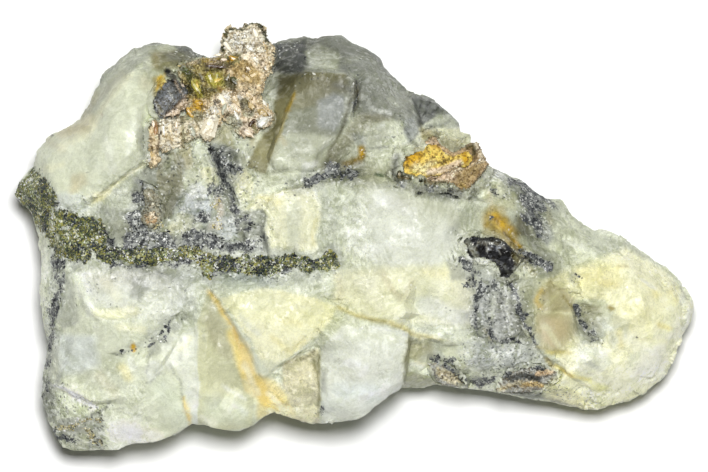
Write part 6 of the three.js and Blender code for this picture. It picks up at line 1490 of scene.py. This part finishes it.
calcite_mesh = fine_calcite()
calcite = piece("calcite_rock", calcite_mesh, calcite_material(), "calcite")

VEIN_KINDS = [
    (20, 28, 34), (34, 46, 56), (52, 66, 68), (64, 80, 52), (92, 104, 62), (126, 134, 80),
    (160, 150, 76), (164, 174, 118), (204, 212, 180), (240, 244, 232)]
DARK_KINDS = [
    (22, 24, 26), (38, 41, 43), (58, 61, 63), (82, 85, 85), (110, 113, 110), (144, 147, 142),
    (186, 189, 182), (232, 234, 226)]
COPPER_KINDS = [
    (96, 98, 80), (170, 162, 118), (216, 204, 150), (234, 224, 172), (246, 240, 208),
    (252, 250, 236)]

rock = calcite_mesh.copy()
put_coordinates(rock, coordinates(rock) / MM)
for name, strokes, per_mm2, radius, kinds, flatness, metallic, roughness, seed, slot in (
        ("vein_grains", VEIN_GRAINS, 40, 0.17, VEIN_KINDS, 0.5, 0.0, 0.4, 41, "sulphide"),
        ("dark_grains", DARK_GRAINS, 22, 0.16, DARK_KINDS, 0.5, 0.1, 0.35, 42, "sulphide"),
        ("copper_grains", COPPER_GRAINS, 30, 0.17, COPPER_KINDS, 0.7, 0.0, 0.35, 43, "silver")):
    grains = grains_on(rock, name, strokes, per_mm2, radius, kinds, flatness, seed)
    piece(name, grains, grain_material(name, metallic, roughness))
bpy.data.meshes.remove(rock)

# ---------------------------------------------------------------- silver, ochre and sulphide

SILVER_STROKES = [
    # the tall leaf
    area("champagne", 1.0, 0.5, -16.6, 22.3, -16.6, 25, -14.8, 26.4, -12.4, 27, -10.8, 25.4,
         -10.1, 23.6, -10.4, 22.2),
    # painted highlight on the tall leaf
    line("white", 0.6, 0.5, 0.5, -15.6, 24.6, -15.2, 23.2),
    line("pink", 0.7, 0.5, 0.4, -12.4, 25.4, -11.8, 23.8),
    line("gold_tan", 0.8, 0.6, 0.2, -10.9, 24, -10.6, 22.8),
    line("knob_grey", 0.6, 0.3, 0.15, -13.4, 25.3, -12.6, 25.1),
    area("white", 0.4, 0.5, -16, 22.8, -15.8, 25, -14, 25.6, -12, 26, -11, 24, -11.2, 22.6),
    line("dark_moss", 1.0, 0.2, 0.2, -16.4, 23.4, -16.3, 24.8, -15.6, 25.9, -14.4, 26.1,
         -13.9, 25.8, -13.2, 26.5, -12.4, 26.8, -11.6, 26.3, -11.1, 25.2, -10.6, 24.2),
    line("knob_grey", 0.5, 0.3, 0.12, -15, 24, -14.2, 24.6),
    line("brown", 0.5, 0.3, 0.12, -13.6, 23.4, -12.8, 23.9),
    # the tan lump and the bar under the leaf
    area("pink", 0.7, 0.5, -14, 22.8, -10.8, 23, -10.9, 20.4, -12.4, 20.2),
    area("gold_tan", 0.95, 0.5, -15.6, 21.6, -13.6, 22.2, -11.6, 20.8, -11.7, 19, -13.4, 18.9,
         -15, 20),
    line("tan_silver", 0.7, 0.4, 0.2, -12, 22, -11.2, 19.6),
    line("brown", 0.4, 0.5, 0.2, -13.8, 19.2, -12.4, 19.4),
    area("olive", 1.0, 0.5, -19.8, 21.2, -19.4, 22.4, -17, 22.8, -13.9, 22.9, -14.4, 21.6,
         -16.4, 20.8),
    line("brown", 0.6, 0.4, 0.2, -19.4, 21.6, -17, 21.4, -15.4, 21.3),
    line("orange", 0.9, 0.3, 0.2, -15.7, 21.9, -14.6, 22.4),
    line("mustard", 0.9, 0.4, 0.25, -18.9, 22.2, -17, 22.3),
    line("pinkish", 0.7, 0.3, 0.15, -18.4, 21.9, -16.4, 21.9),
    line("pinkish", 0.6, 0.3, 0.12, -17.4, 22.6, -15.6, 22.7),
    # green and yellow moss
    area("khaki", 1.0, 0.5, -22, 21.6, -19.6, 21.6, -16, 20.8, -15.8, 18.8, -16.8, 17.4,
         -20.6, 17.2, -21.4, 19),
    line("green", 0.8, 0.5, 0.4, -21.2, 21, -20.4, 20.2),
    line("sage", 0.7, 0.3, 0.15, -21.8, 20.6, -20.8, 21.4, -19.9, 21),
    line("dark_moss", 0.9, 0.3, 0.35, -20.5, 20.4, -20.2, 18.2),
    line("dark_moss", 0.8, 0.4, 0.2, -20.2, 20.6, -19.4, 19.9),
    line("bright_moss", 1.0, 0.3, 0.45, -19.6, 19.3, -19.1, 17.8),
    line("dark_moss", 0.8, 0.3, 0.2, -18.5, 18.6, -17.2, 18.4),
    line("dark_moss", 0.8, 0.3, 0.2, -18.7, 21, -16.4, 20.9),
    line("bright_moss", 1.0, 0.3, 0.6, -18, 20.1, -17.2, 19.3),
    line("pale_ochre", 0.7, 0.3, 0.15, -17.8, 20.2, -17, 19.8),
    line("bright_moss", 0.8, 0.4, 0.2, -16.9, 20.4, -16.4, 19.2),
    line("dark_moss", 0.8, 0.3, 0.15, -18.9, 19, -18.6, 17.6),
    line("lilac", 0.7, 0.3, 0.15, -19.2, 20.4, -18.8, 19.6),
    line("rust", 0.7, 0.3, 0.15, -17, 18.8, -16.4, 18.2),
    line("beige", 0.9, 0.4, 0.25, -22, 20.6, -21.5, 19.2, -20.9, 18),
    line("dark_moss", 0.85, 0.5, 0.45, -15.9, 19.3, -15.1, 18.6),
    line("sage", 0.6, 0.3, 0.2, -15.4, 19.8, -14.8, 19.6),
    line("dark_moss", 0.85, 0.3, 0.25, -17.6, 15.6, -16.9, 15),
    line("khaki", 0.9, 0.3, 0.3, -15.6, 17.2, -14.9, 16.5),
    # pale crystals
    area("pink", 0.8, 0.6, -17.6, 17.8, -14.4, 18.2, -12.2, 17.6, -10.3, 15.4, -10.6, 13.6,
         -13, 12.6, -14.6, 13.6, -16.4, 15.4, -17.6, 16.4),
    # painted highlights on the pale crystals
    line("white", 0.8, 0.4, 0.35, -16.2, 17.9, -15.4, 16.4),
    line("white", 0.8, 0.4, 0.3, -14.4, 17.4, -13.6, 16.6),
    line("bevel", 0.7, 0.5, 0.4, -13.4, 15.4, -12.6, 15.6),
    line("brown", 0.6, 0.4, 0.2, -14, 16.4, -13.2, 15.8, -12.4, 16.4),
    line("brown", 0.6, 0.4, 0.2, -14.2, 14.4, -13, 14),
    line("dark_moss", 0.8, 0.3, 0.2, -13.4, 17, -12.6, 16.2, -12.8, 15.2),
    line("olive", 0.9, 0.3, 0.3, -12.8, 14, -12.4, 13.2),
    line("dark_moss", 0.7, 0.3, 0.2, -16.6, 16.2, -15.6, 15.2),
    line("pinkish", 0.9, 0.4, 0.35, -14, 13, -13, 12.8),
    area("sage", 0.8, 0.4, -16, 14.8, -14.6, 15.4, -13.8, 14.2, -14.4, 13, -16, 13.4),
    area("olive", 0.7, 0.4, -14.8, 17, -13.4, 17.4, -12.8, 16.2, -14, 15.6),
    line("white", 1.0, 0.4, 0.6, -11.7, 14.2, -10.9, 14.8),
    line("gold_tan", 0.6, 0.4, 0.2, -12.2, 16.8, -10.9, 16),
    line("deep_grey", 0.7, 0.3, 0.2, -17.4, 16.8, -16.6, 17),
    line("deep_grey", 0.6, 0.4, 0.2, -14.4, 14.2, -13.8, 13.6),
    area("putty", 0.9, 0.5, -21.6, 13.6, -20.2, 17, -18.6, 16.8, -18.4, 13.4, -18.8, 11.4,
         -21.4, 11),
    line("pinkish", 0.6, 0.5, 0.4, -20.4, 13.8, -19.4, 12.6),
    area("white", 1.0, 0.3, -19.2, 13.6, -18.7, 15, -17.6, 16.5, -16.8, 16.4, -17, 14.6,
         -17.6, 13.2, -18.4, 11.6),
    line("pinkish", 0.5, 0.3, 0.15, -18.4, 13.2, -17.6, 14.8),
    line("orange", 1.0, 0.3, 0.4, -19.6, 17, -19, 16.7),
    line("bright_ochre", 0.9, 0.4, 0.25, -20.6, 15.6, -19.8, 16.4, -19, 16),
    line("dark_moss", 0.8, 0.4, 0.3, -20.9, 17.2, -21.3, 15.8, -21.4, 14.2),
    line("green", 0.5, 0.4, 0.2, -20.6, 14.6, -20.2, 15.4),
    area("champagne", 0.75, 0.4, -21.2, 14.4, -19.2, 14.8, -18.6, 12.4, -20.8, 11.9),
    line("knob_grey", 0.5, 0.3, 0.12, -20.2, 14.2, -19.6, 12.6),
    # the sparkling patch at the left foot, with a painted highlight in white
    area("champagne", 1.0, 0.4, -24.4, 15.2, -21.7, 15.4, -21.5, 11, -24.3, 10.8),
    line("white", 0.6, 0.5, 0.4, -23.4, 14.6, -22.4, 13.4),
    line("gold_tan", 0.7, 0.4, 0.2, -23.8, 12.6, -22.6, 12),
    line("tan_silver", 0.9, 0.4, 0.35, -25.2, 14.4, -24.9, 12, -25, 9.2),
    line("brown", 0.8, 0.3, 0.14, -24.6, 15, -24.3, 12.4, -24.6, 10.6),
    line("brown", 0.6, 0.3, 0.14, -25.4, 12.8, -25.2, 10.8),
]
LEAF_STROKES = [
    line("pinkish", 0.9, 0.4, 0.3, 9.4, 6.9, 11.4, 7.3, 13, 8, 14.6, 8.9),
    # painted shadow along the leaf's lower edge and at its left tip: the black and deep grey lines
    line("black", 0.7, 0.3, 0.2, 5.8, 7.2, 6.8, 6.8),
    line("black", 0.7, 0.3, 0.15, 7.8, 6.8, 9, 6.5),
    line("deep_grey", 0.7, 0.4, 0.3, 5.4, 9.6, 5.9, 8.8),
    line("champagne", 0.9, 0.3, 0.3, 5.6, 8.4, 6.8, 7.8, 8, 7.9),
    line("mustard", 0.8, 0.5, 0.3, 8.4, 11, 9.6, 11.3),
    line("pinkish", 0.9, 0.5, 0.35, 6.4, 8, 8.6, 7.6, 10.6, 7.7, 12.4, 8.2),
    line("pinkish", 0.9, 0.5, 0.3, 8.8, 11.6, 10, 11.9),
    line("dark_moss", 0.8, 0.4, 0.25, 5.6, 7.8, 6.9, 7.2, 9.4, 6.9, 11.4, 6.9),
    line("dark_moss", 0.8, 0.3, 0.25, 14.1, 11.2, 15, 11.6, 15, 10.4),
    # painted highlight along the rolled rim
    line("champagne", 0.8, 0.3, 0.15, 12, 8.1, 13.4, 8.7, 14.8, 9.3, 16, 9.6),
    line("champagne", 0.6, 0.4, 0.25, 15.2, 11.6, 16.1, 9.6),
    area("gold_tan", 0.8, 0.6, 12.6, 8, 14.6, 9, 16.2, 9.4, 15, 7.4, 13.2, 6.6),
    line("brown", 0.4, 0.6, 0.3, 13, 7.2, 14.6, 7.8, 15.6, 8.6),
    line("mustard", 0.7, 0.3, 0.2, 13.4, 6.6, 13.8, 6.5),
    line("brown", 0.5, 0.4, 0.2, 12.4, 7.2, 13.2, 8),
    line("lilac", 0.7, 0.3, 0.15, 14.4, 12, 15.2, 12.2),
]
OCHRE_STROKES = [
    area("bright_ochre", 0.9, 0.7, 6, 9.2, 6.6, 10.6, 8.2, 10.8, 8.4, 9.8, 7.2, 8.6),
    line("cream", 0.6, 0.8, 0.5, 7.6, 8.8, 8.6, 8.2, 9.8, 9.4),
    line("pale_ochre", 0.95, 0.9, 0.8, 9.2, 10.4, 11, 10, 12.4, 10),
    line("pinkish", 0.9, 0.4, 0.45, 9.4, 8, 11.4, 8.3, 13.2, 9.2),
    line("copper", 0.7, 0.2, 0.1, 9.6, 8.3, 11.2, 8.7, 12.8, 9.2),
    line("brown", 0.6, 0.3, 0.12, 6.6, 9, 7.2, 8.6, 7, 8.2),
    line("deep_ochre", 0.9, 0.4, 0.3, 9.9, 11.4, 10.6, 11.2),
    line("brown", 0.5, 0.3, 0.1, 9, 9.2, 10, 9.4, 11.2, 9.1),
    line("bright_ochre", 0.9, 0.4, 0.4, 13.7, 10.6, 14, 9.6),
    line("brown", 0.4, 0.3, 0.1, 10.8, 8.2, 12.4, 8.8),
    line("cream", 0.8, 0.4, 0.2, 11.6, 10.4, 12.8, 10.4),
]
# The knob's colours; the thin silver-grey and steel streaks are painted sheen on its facets.
KNOB_STROKES = [
    area("steel", 0.7, 0.6, -25, 16.6, -23.4, 17.6, -22.4, 15, -24.6, 15),
    line("silver_grey", 0.8, 0.2, 0.1, -24.2, 16.4, -23.6, 15.4),
    line("silver_grey", 0.7, 0.2, 0.1, -23.4, 17.4, -22.8, 16),
    line("dark_grey", 0.8, 0.4, 0.3, -22.6, 19, -21.4, 18.2),
    line("steel", 0.8, 0.6, 0.5, -23.9, 15.8, -23, 17),
    line("deep_grey", 0.5, 0.5, 0.3, -22.2, 18, -21.6, 17),
    line("silver_grey", 0.8, 0.2, 0.12, -22.9, 17.9, -22.2, 16.9),
    line("steel", 0.7, 0.3, 0.2, -22.5, 16.4, -21.8, 17.4),
    line("bevel", 0.6, 0.3, 0.15, -24.4, 16.4, -23.8, 15.6),
    line("black", 0.9, 0.5, 0.45, -23, 20, -22.4, 19.4),
    area("pale_ochre", 1.0, 0.2, -25.6, 16.9, -22.9, 20.2, -25.6, 20.4),
    line("pale_ochre", 0.9, 0.3, 0.3, -24.2, 18.6, -23.8, 19.3),
    line("black", 1.0, 0.25, 0.4, -23.1, 20.4, -22.7, 19.6),
    area("pinkish", 0.95, 0.2, -23.5, 14.8, -20.9, 17.6, -20.4, 17.6, -20.6, 14.6),
    line("brown", 0.7, 0.3, 0.15, -23.2, 15.2, -21, 17.4),
    line("silver_grey", 0.8, 0.25, 0.15, -24.7, 16.6, -24, 15.2),
    line("lilac", 0.6, 0.3, 0.15, -23, 18.4, -22.2, 16.8),
    line("pinkish", 0.6, 0.3, 0.12, -22.3, 19.4, -21.3, 17.6),
]
SEAM_STROKES = [
    line("bevel", 0.9, 0.6, 0.5, 24, -18.6, 25.4, -17.8),
    line("bevel", 0.8, 0.4, 0.4, 11.6, -15.8, 13.4, -16.6),
    line("beige", 1.0, 0.4, 0.35, 18.2, -18.9, 19.6, -18.3, 21, -18.2),
    line("gold_tan", 1.0, 0.4, 0.3, 21, -18.4, 22.4, -18.3, 23.6, -18.7),
    line("black", 0.8, 0.3, 0.2, 20, -17.9, 21.6, -17.8, 23, -17.9),
    line("champagne", 0.8, 0.3, 0.12, 18.6, -18.5, 20.4, -17.9, 22.6, -18),
    line("dark_grey", 0.95, 0.4, 0.45, 19.6, -17.6, 21, -17.2, 22.8, -17.4),
    line("copper", 0.95, 0.4, 0.35, 22.8, -17, 24.6, -16.8),
    line("brown", 0.6, 0.3, 0.15, 19, -18.6, 21, -18.4, 23, -18.9),
    area("beige", 0.9, 0.4, 10.2, -16.2, 11.6, -16.6, 13.6, -17.4, 13.8, -18.4, 11.6, -18,
         10.2, -17.2),
    line("champagne", 0.8, 0.3, 0.2, 10.8, -17, 12.8, -17.9),
    line("brown", 0.5, 0.3, 0.1, 10.4, -16.6, 12, -17.1, 13.6, -17.8),
    line("mid_grey", 0.8, 0.4, 0.25, 13, -18.2, 13.8, -18.2),
]
GRAIN_STROKES = [
    line("deep_grey", 0.5, 0.6, 0.4, -25.6, 4.6, -25.4, 3.6),
    line("copper", 1.0, 0.4, 0.7, -25.1, 2.5),
    line("champagne", 0.8, 0.3, 0.3, -25.3, 2.9, -25, 2.6),
    line("rust", 0.7, 0.3, 0.15, -24.8, 2, -25.4, 1.9),
    line("champagne", 0.9, 0.3, 0.2, -25.5, 5.3),
    line("champagne", 0.8, 0.3, 0.12, -25, 4.2, -25.2, 3.8),
]
# The black lump's colours; the steel lines and the thin silver-grey lines are painted highlights on
# its glossy ribs.
LUMP_STROKES = [
    line("steel", 0.8, 0.3, 0.2, 16.5, -1.4, 17.1, -1.1),
    line("steel", 0.8, 0.3, 0.2, 17.8, -1.3, 18.3, -1),
    line("steel", 0.7, 0.3, 0.25, 14.4, -1, 15.3, -2.2),
    line("deep_grey", 0.7, 0.5, 0.3, 15.6, -0.6, 18.6, -0.5),
    line("deep_grey", 0.6, 0.4, 0.2, 18.6, -3.4, 19.4, -4.6),
    line("mustard", 0.9, 0.4, 0.3, 19.9, -1, 20.9, -2.2),
    line("silver_grey", 0.9, 0.3, 0.25, 13.9, -0.8, 14.8, -1.8),
    line("mid_grey", 0.8, 0.4, 0.3, 14, -0.5, 15.2, -2.4),
    line("mid_grey", 0.9, 0.4, 0.5, 20.6, -2.6, 20.4, -4),
    line("olive", 0.8, 0.4, 0.3, 19.9, -2.2, 20.4, -3),
    line("silver_grey", 0.7, 0.3, 0.12, 15.2, -0.7, 16.6, -0.6, 17.8, -0.7, 18.8, -1.2),
    line("silver_grey", 0.8, 0.2, 0.1, 16.4, -0.8, 16.4, -1.8),
    line("silver_grey", 0.8, 0.2, 0.08, 15.2, -0.8, 14.8, -1.6),
    line("silver_grey", 0.7, 0.2, 0.08, 17.8, -0.9, 18.2, -2),
    line("steel", 0.7, 0.3, 0.12, 17, -2.6, 18, -3),
]


def fine_node(name, widen, layers, lumps, start, strokes, seed):
    """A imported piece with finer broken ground, reaching over the gap round it."""
    mesh = refined(node_mesh(name), levels=3, soft_angle=20, sharp_angle=55, crease=0.8)
    xyz, normal = coordinates(mesh), normals(mesh)
    sideways = 1 - np.abs(normal[:, 2])
    xyz[:, :2] += normal[:, :2] * (widen * sideways)[:, None]
    for size, rise in layers:
        seed += 7
        xyz += normal * (rise * broken(xyz, size, seed, 2.0))[:, None]
    for size, rise in lumps:
        seed += 7
        xyz += normal * (rise * lumpy(xyz, size, seed))[:, None]
    xyz = np.clip(xyz, *in_mm(CAD_BOX))
    put_coordinates(mesh, xyz)
    put_colour(mesh, "tint", painted(xyz, start, strokes, seed, 0.25))
    return mesh


# The larger crystals of the silver mass: both ends' x and y, the width and the colour.
BLADES = [
    (-18.5, 12, -17.2, 16.4, 1.5, "champagne"), (-18.9, 13.6, -17.9, 15.2, 0.6, "pink"),
    (-17, 18.1, -15.8, 16, 0.8, "champagne"), (-15.4, 17.9, -14.1, 16.2, 0.8, "tan_silver"),
    (-13.6, 18.2, -12.6, 17.1, 0.6, "gold_tan"), (-15.3, 16.6, -14, 15.5, 0.6, "pink"),
    (-13.2, 16.9, -12, 15.5, 0.6, "gold_tan"), (-14.1, 13.8, -12.4, 12.4, 0.9, "pink"),
    (-12.1, 15.9, -10.5, 15.1, 0.7, "gold_tan"), (-12, 13.7, -10.6, 15, 0.9, "white"),
    (-12.7, 14.6, -13.9, 15.6, 0.5, "putty"), (-13.2, 13.8, -12.2, 14.8, 0.4, "brown"),
    (-14.4, 14.6, -15, 16, 0.4, "white"), (-16.4, 15.2, -15.9, 16.8, 0.5, "bevel"),
    (-11.4, 17.2, -10.8, 16, 0.4, "white"), (-21.9, 20.9, -20.6, 17.4, 0.5, "pinkish"),
    (-20.3, 19.6, -19, 17.7, 0.5, "bright_moss"), (-19.6, 19.6, -19.4, 18, 0.3, "pale_ochre"),
    (-18.2, 20.7, -17.4, 18.7, 0.6, "bright_moss"), (-17, 20.6, -17.2, 19, 0.5, "bright_moss"),
    (-17.9, 19.2, -16.4, 19.8, 0.35, "pale_ochre"), (-19.9, 17.2, -18.8, 16.5, 0.6, "bright_ochre"),
    (-20.9, 16.3, -20, 14.9, 0.45, "deep_ochre"), (-21.6, 17, -21.2, 15, 0.4, "dark_moss"),
    (-19.4, 22.3, -17.4, 22.6, 0.35, "rust"), (-17.6, 22.1, -15.4, 22.2, 0.35, "pinkish"),
    (-15.7, 22.5, -14.2, 22, 0.5, "bright_ochre"), (-18.6, 21.4, -15.8, 21.2, 0.4, "brown"),
    (-17.6, 22.7, -15.6, 22.9, 0.25, "champagne"), (-14.2, 22.8, -13, 21.9, 0.5, "champagne"),
    (-12.6, 22.6, -11.6, 21.4, 0.6, "champagne"), (-11.3, 22, -10.9, 20, 0.4, "white"),
    (-13.6, 21.6, -12.8, 20.6, 0.4, "pink"), (-15.4, 20, -14.3, 18.9, 0.6, "dark_moss"),
    (-16, 19.4, -15.4, 20.6, 0.4, "olive"), (-14.6, 20.4, -12.4, 19.2, 1.1, "gold_tan"),
    (-13.8, 19.6, -11.8, 20.6, 0.7, "gold_tan"), (-20.6, 14, -19.6, 12.2, 0.7, "bevel"),
    (-19.8, 15, -19, 13.8, 0.5, "putty"), (-24.6, 14.4, -24.8, 11.4, 0.4, "rust"),
    (-25, 11, -25.2, 9.2, 0.5, "gold_tan"), (-25.1, 14.6, -24.6, 13.2, 0.4, "pinkish"),
    (-23.8, 14.8, -23.6, 12.6, 0.35, "white"), (-22.9, 14.4, -22.8, 12.2, 0.35, "champagne"),
    (-22.1, 14.6, -22.1, 12.8, 0.3, "pink"), (-23.4, 12.4, -22.6, 11, 0.35, "white"),
    (-16.2, 24.4, -15.2, 23, 0.5, "champagne"), (-15, 25.4, -14.2, 24, 0.5, "white"),
    (-12.6, 26.2, -12, 24.8, 0.5, "champagne"), (-13.6, 24, -12.4, 23.2, 0.5, "white"),
    (-11.6, 24.6, -11, 23.4, 0.4, "gold_tan"),
]


def blade_mesh(name, rows, ground, seed):
    """Faceted crystals lying on a piece, each a long, flat, six-sided one with two points."""
    random = np.random.default_rng(seed)
    polygons = [tuple(p.vertices) for p in ground.polygons]
    tree = BVHTree.FromPolygons(coordinates(ground).tolist(), polygons)
    verts, faces, colours, chance = [], [], [], []
    for x0, y0, x1, y1, width, colour in rows:
        start, end = np.array([x0, y0]), np.array([x1, y1])
        across = np.array([y0 - y1, x1 - x0]) / np.linalg.norm(end - start)
        hit = tree.ray_cast((*(start + end) / 2, ABOVE_ALL_Z), (0, 0, -1))[0]
        if hit is None:
            continue
        base, first = len(verts), random.uniform(0.1, 0.35)
        tilt = random.uniform(-0.15, 0.15, 2) * width
        second, narrower = random.uniform(0.55, 0.85), random.uniform(0.7, 1)
        for share, size in ((0, 0), (first, 1), (second, narrower), (1, 0)):
            centre = start + share * (end - start)
            z = hit.z + 0.05 + tilt[0] * (share - 0.5)
            if not size:
                verts.append((*centre, z))
                continue
            for angle in range(0, 360, 60):
                turn = math.radians(angle)
                side = 0.6 * width * size * math.cos(turn) * random.uniform(0.8, 1.2)
                up = 0.24 * width * size * math.sin(turn) * random.uniform(0.8, 1.2)
                verts.append((*(centre + side * across), z + up + tilt[1] * side / width))
        for k in range(6):
            m = (k + 1) % 6
            near, far, point = base + 1, base + 7, base + 13
            faces += [(base, near + m, near + k), (near + k, near + m, far + m, far + k),
                      (far + k, far + m, point)]
        colours += [linear(PALETTE[colour]) * random.uniform(0.9, 1.1)] * 14
        chance += [random.random()] * 14
    mesh = bpy.data.meshes.new(name)
    mesh.from_pydata(verts, [], faces)
    put_colour(mesh, "tint", np.clip(colours, 0, 1))
    put_number(mesh, "chance", np.array(chance))
    return mesh


# For each node: how far it is widened, (size, rise) of its broken ground and of its round lumps,
# first colour, strokes, (metallic, roughness, grain size, pits), and its grains' (number in a
# square millimetre, radius, flatness, stretch).
SEAM = (0.35, ((0.9, 0.24), (0.4, 0.14)), (), "silver_grey", SEAM_STROKES,
        (0.0, 0.4, 0.26, 0.6), (12, 0.14, 0.5, 1.6))
FINE_NODES = {
    "silver_mass": (0.12, ((1.5, 0.3), (0.8, 0.3), (0.4, 0.12)), (), "tan_silver", SILVER_STROKES,
                    (0.0, 0.34, 0.3, 0.7), (10, 0.115, 0.5, 2.2)),
    "silver_leaf": (0.15, ((1.2, 0.2), (0.5, 0.12)), (), "leaf_silver", LEAF_STROKES,
                    (0.0, 0.4, 0.22, 0.6), (6, 0.13, 0.4, 1.6)),
    "ochre_crust": (0.2, (), ((0.8, 0.3), (0.4, 0.16)), "pale_ochre", OCHRE_STROKES,
                    (0.0, 0.75, 0.3, 0.2), (8, 0.12, 0.7, 1.2)),
    "sulphide_knob": (0.05, ((1.4, 0.4), (0.6, 0.2)), (), "knob_grey", KNOB_STROKES,
                      (0.1, 0.3, 0.26, 0.5), (6, 0.14, 0.4, 2.0)),
    "sulphide_lump": (0.12, ((1.2, 0.14), (0.4, 0.05)), ((0.9, 0.12),), "lump_black",
                      LUMP_STROKES, (0.3, 0.24, 0.4, 0.3), (1.5, 0.1, 0.4, 1.6)),
    "silver_seam_left": SEAM,
    "silver_seam_right": SEAM,
    "silver_grains": (0.3, ((0.9, 0.2), (0.4, 0.12)), (), "grain_brown", GRAIN_STROKES,
                      (0.0, 0.4, 0.26, 0.5), (24, 0.14, 0.6, 1.2)),
}
for seed, (node, row) in enumerate(FINE_NODES.items(), 60):
    widen, layers, lumps, start, strokes, look, grain_numbers = row
    slot = node.split("_")[0]
    mesh = fine_node(node, widen, layers, lumps, start, strokes, seed)
    grains = grains_over(mesh, node + "_crystals", *grain_numbers, seed + 20, strokes, start)
    crystals = piece(node + "_crystals", grains, metal_material(node + "_crystals", *look))
    if node == "silver_mass":
        blades = blade_mesh("silver_blades", BLADES, mesh, 91)
        piece("silver_blades", blades, metal_material("silver_blades", 0.0, 0.3, 0.5, 0.25))
    piece(node + "_fine", mesh, metal_material(node, *look), node)

# ---------------------------------------------------------------- floor, light and camera

FLOOR_HALF_WIDTH = 1.5   # metres


def floor():
    mesh = bpy.data.meshes.new("floor")
    corners = [(x * FLOOR_HALF_WIDTH, y * FLOOR_HALF_WIDTH, 0)
               for x, y in ((-1, -1), (1, -1), (1, 1), (-1, 1))]
    mesh.from_pydata(corners, [], [(0, 1, 2, 3)])
    obj = bpy.data.objects.new("floor", mesh)
    bpy.context.scene.collection.objects.link(obj)
    n = Nodes("floor")
    n.set(Base_Color=(0.97, 0.97, 0.97, 1), Roughness=0.9, Specular_IOR_Level=0.0,
          Emission_Color=(1, 1, 1, 1), Emission_Strength=0.002)
    mesh.materials.append(n.material)


def area_light(name, place, size, power):
    """A square white light at a place in metres, facing the specimen."""
    light = bpy.data.lights.new(name, "AREA")
    light.shape, light.size, light.energy = "SQUARE", size, power
    obj = bpy.data.objects.new(name, light)
    obj.location = place
    obj.rotation_euler = (-Vector(place)).to_track_quat("-Z", "Y").to_euler()
    bpy.context.scene.collection.objects.link(obj)


def lights():
    world = bpy.data.worlds.new("studio")
    world.use_nodes = True
    background = world.node_tree.nodes["Background"]
    background.inputs["Color"].default_value = (1, 1, 1, 1)
    background.inputs["Strength"].default_value = 0.004
    bpy.context.scene.world = world
    area_light("key", (0.02, 0.125, 1.0), size=0.17, power=11.1)
    area_light("left", (-0.4, 0.5, 1.0), size=0.3, power=0.2)


PHOTO_WIDTH_MM = 88.5   # how much of the frame's X the picture spans, at the rim's height
PHOTO_MIDDLE_Y_MM = 0.19
RIM_HEIGHT_MM = 11
CAMERA_DISTANCE_MM = 2000
SENSOR_MM = 36


def camera():
    data = bpy.data.cameras.new("camera")
    data.sensor_width = SENSOR_MM
    data.lens = SENSOR_MM * CAMERA_DISTANCE_MM / PHOTO_WIDTH_MM
    data.clip_end = 10
    obj = bpy.data.objects.new("camera", data)
    obj.location = (0, PHOTO_MIDDLE_Y_MM * MM, (CAMERA_DISTANCE_MM + RIM_HEIGHT_MM) * MM)
    bpy.context.scene.collection.objects.link(obj)
    bpy.context.scene.camera = obj


floor()
lights()
camera()
bpy.context.scene.view_settings.view_transform = "Standard"
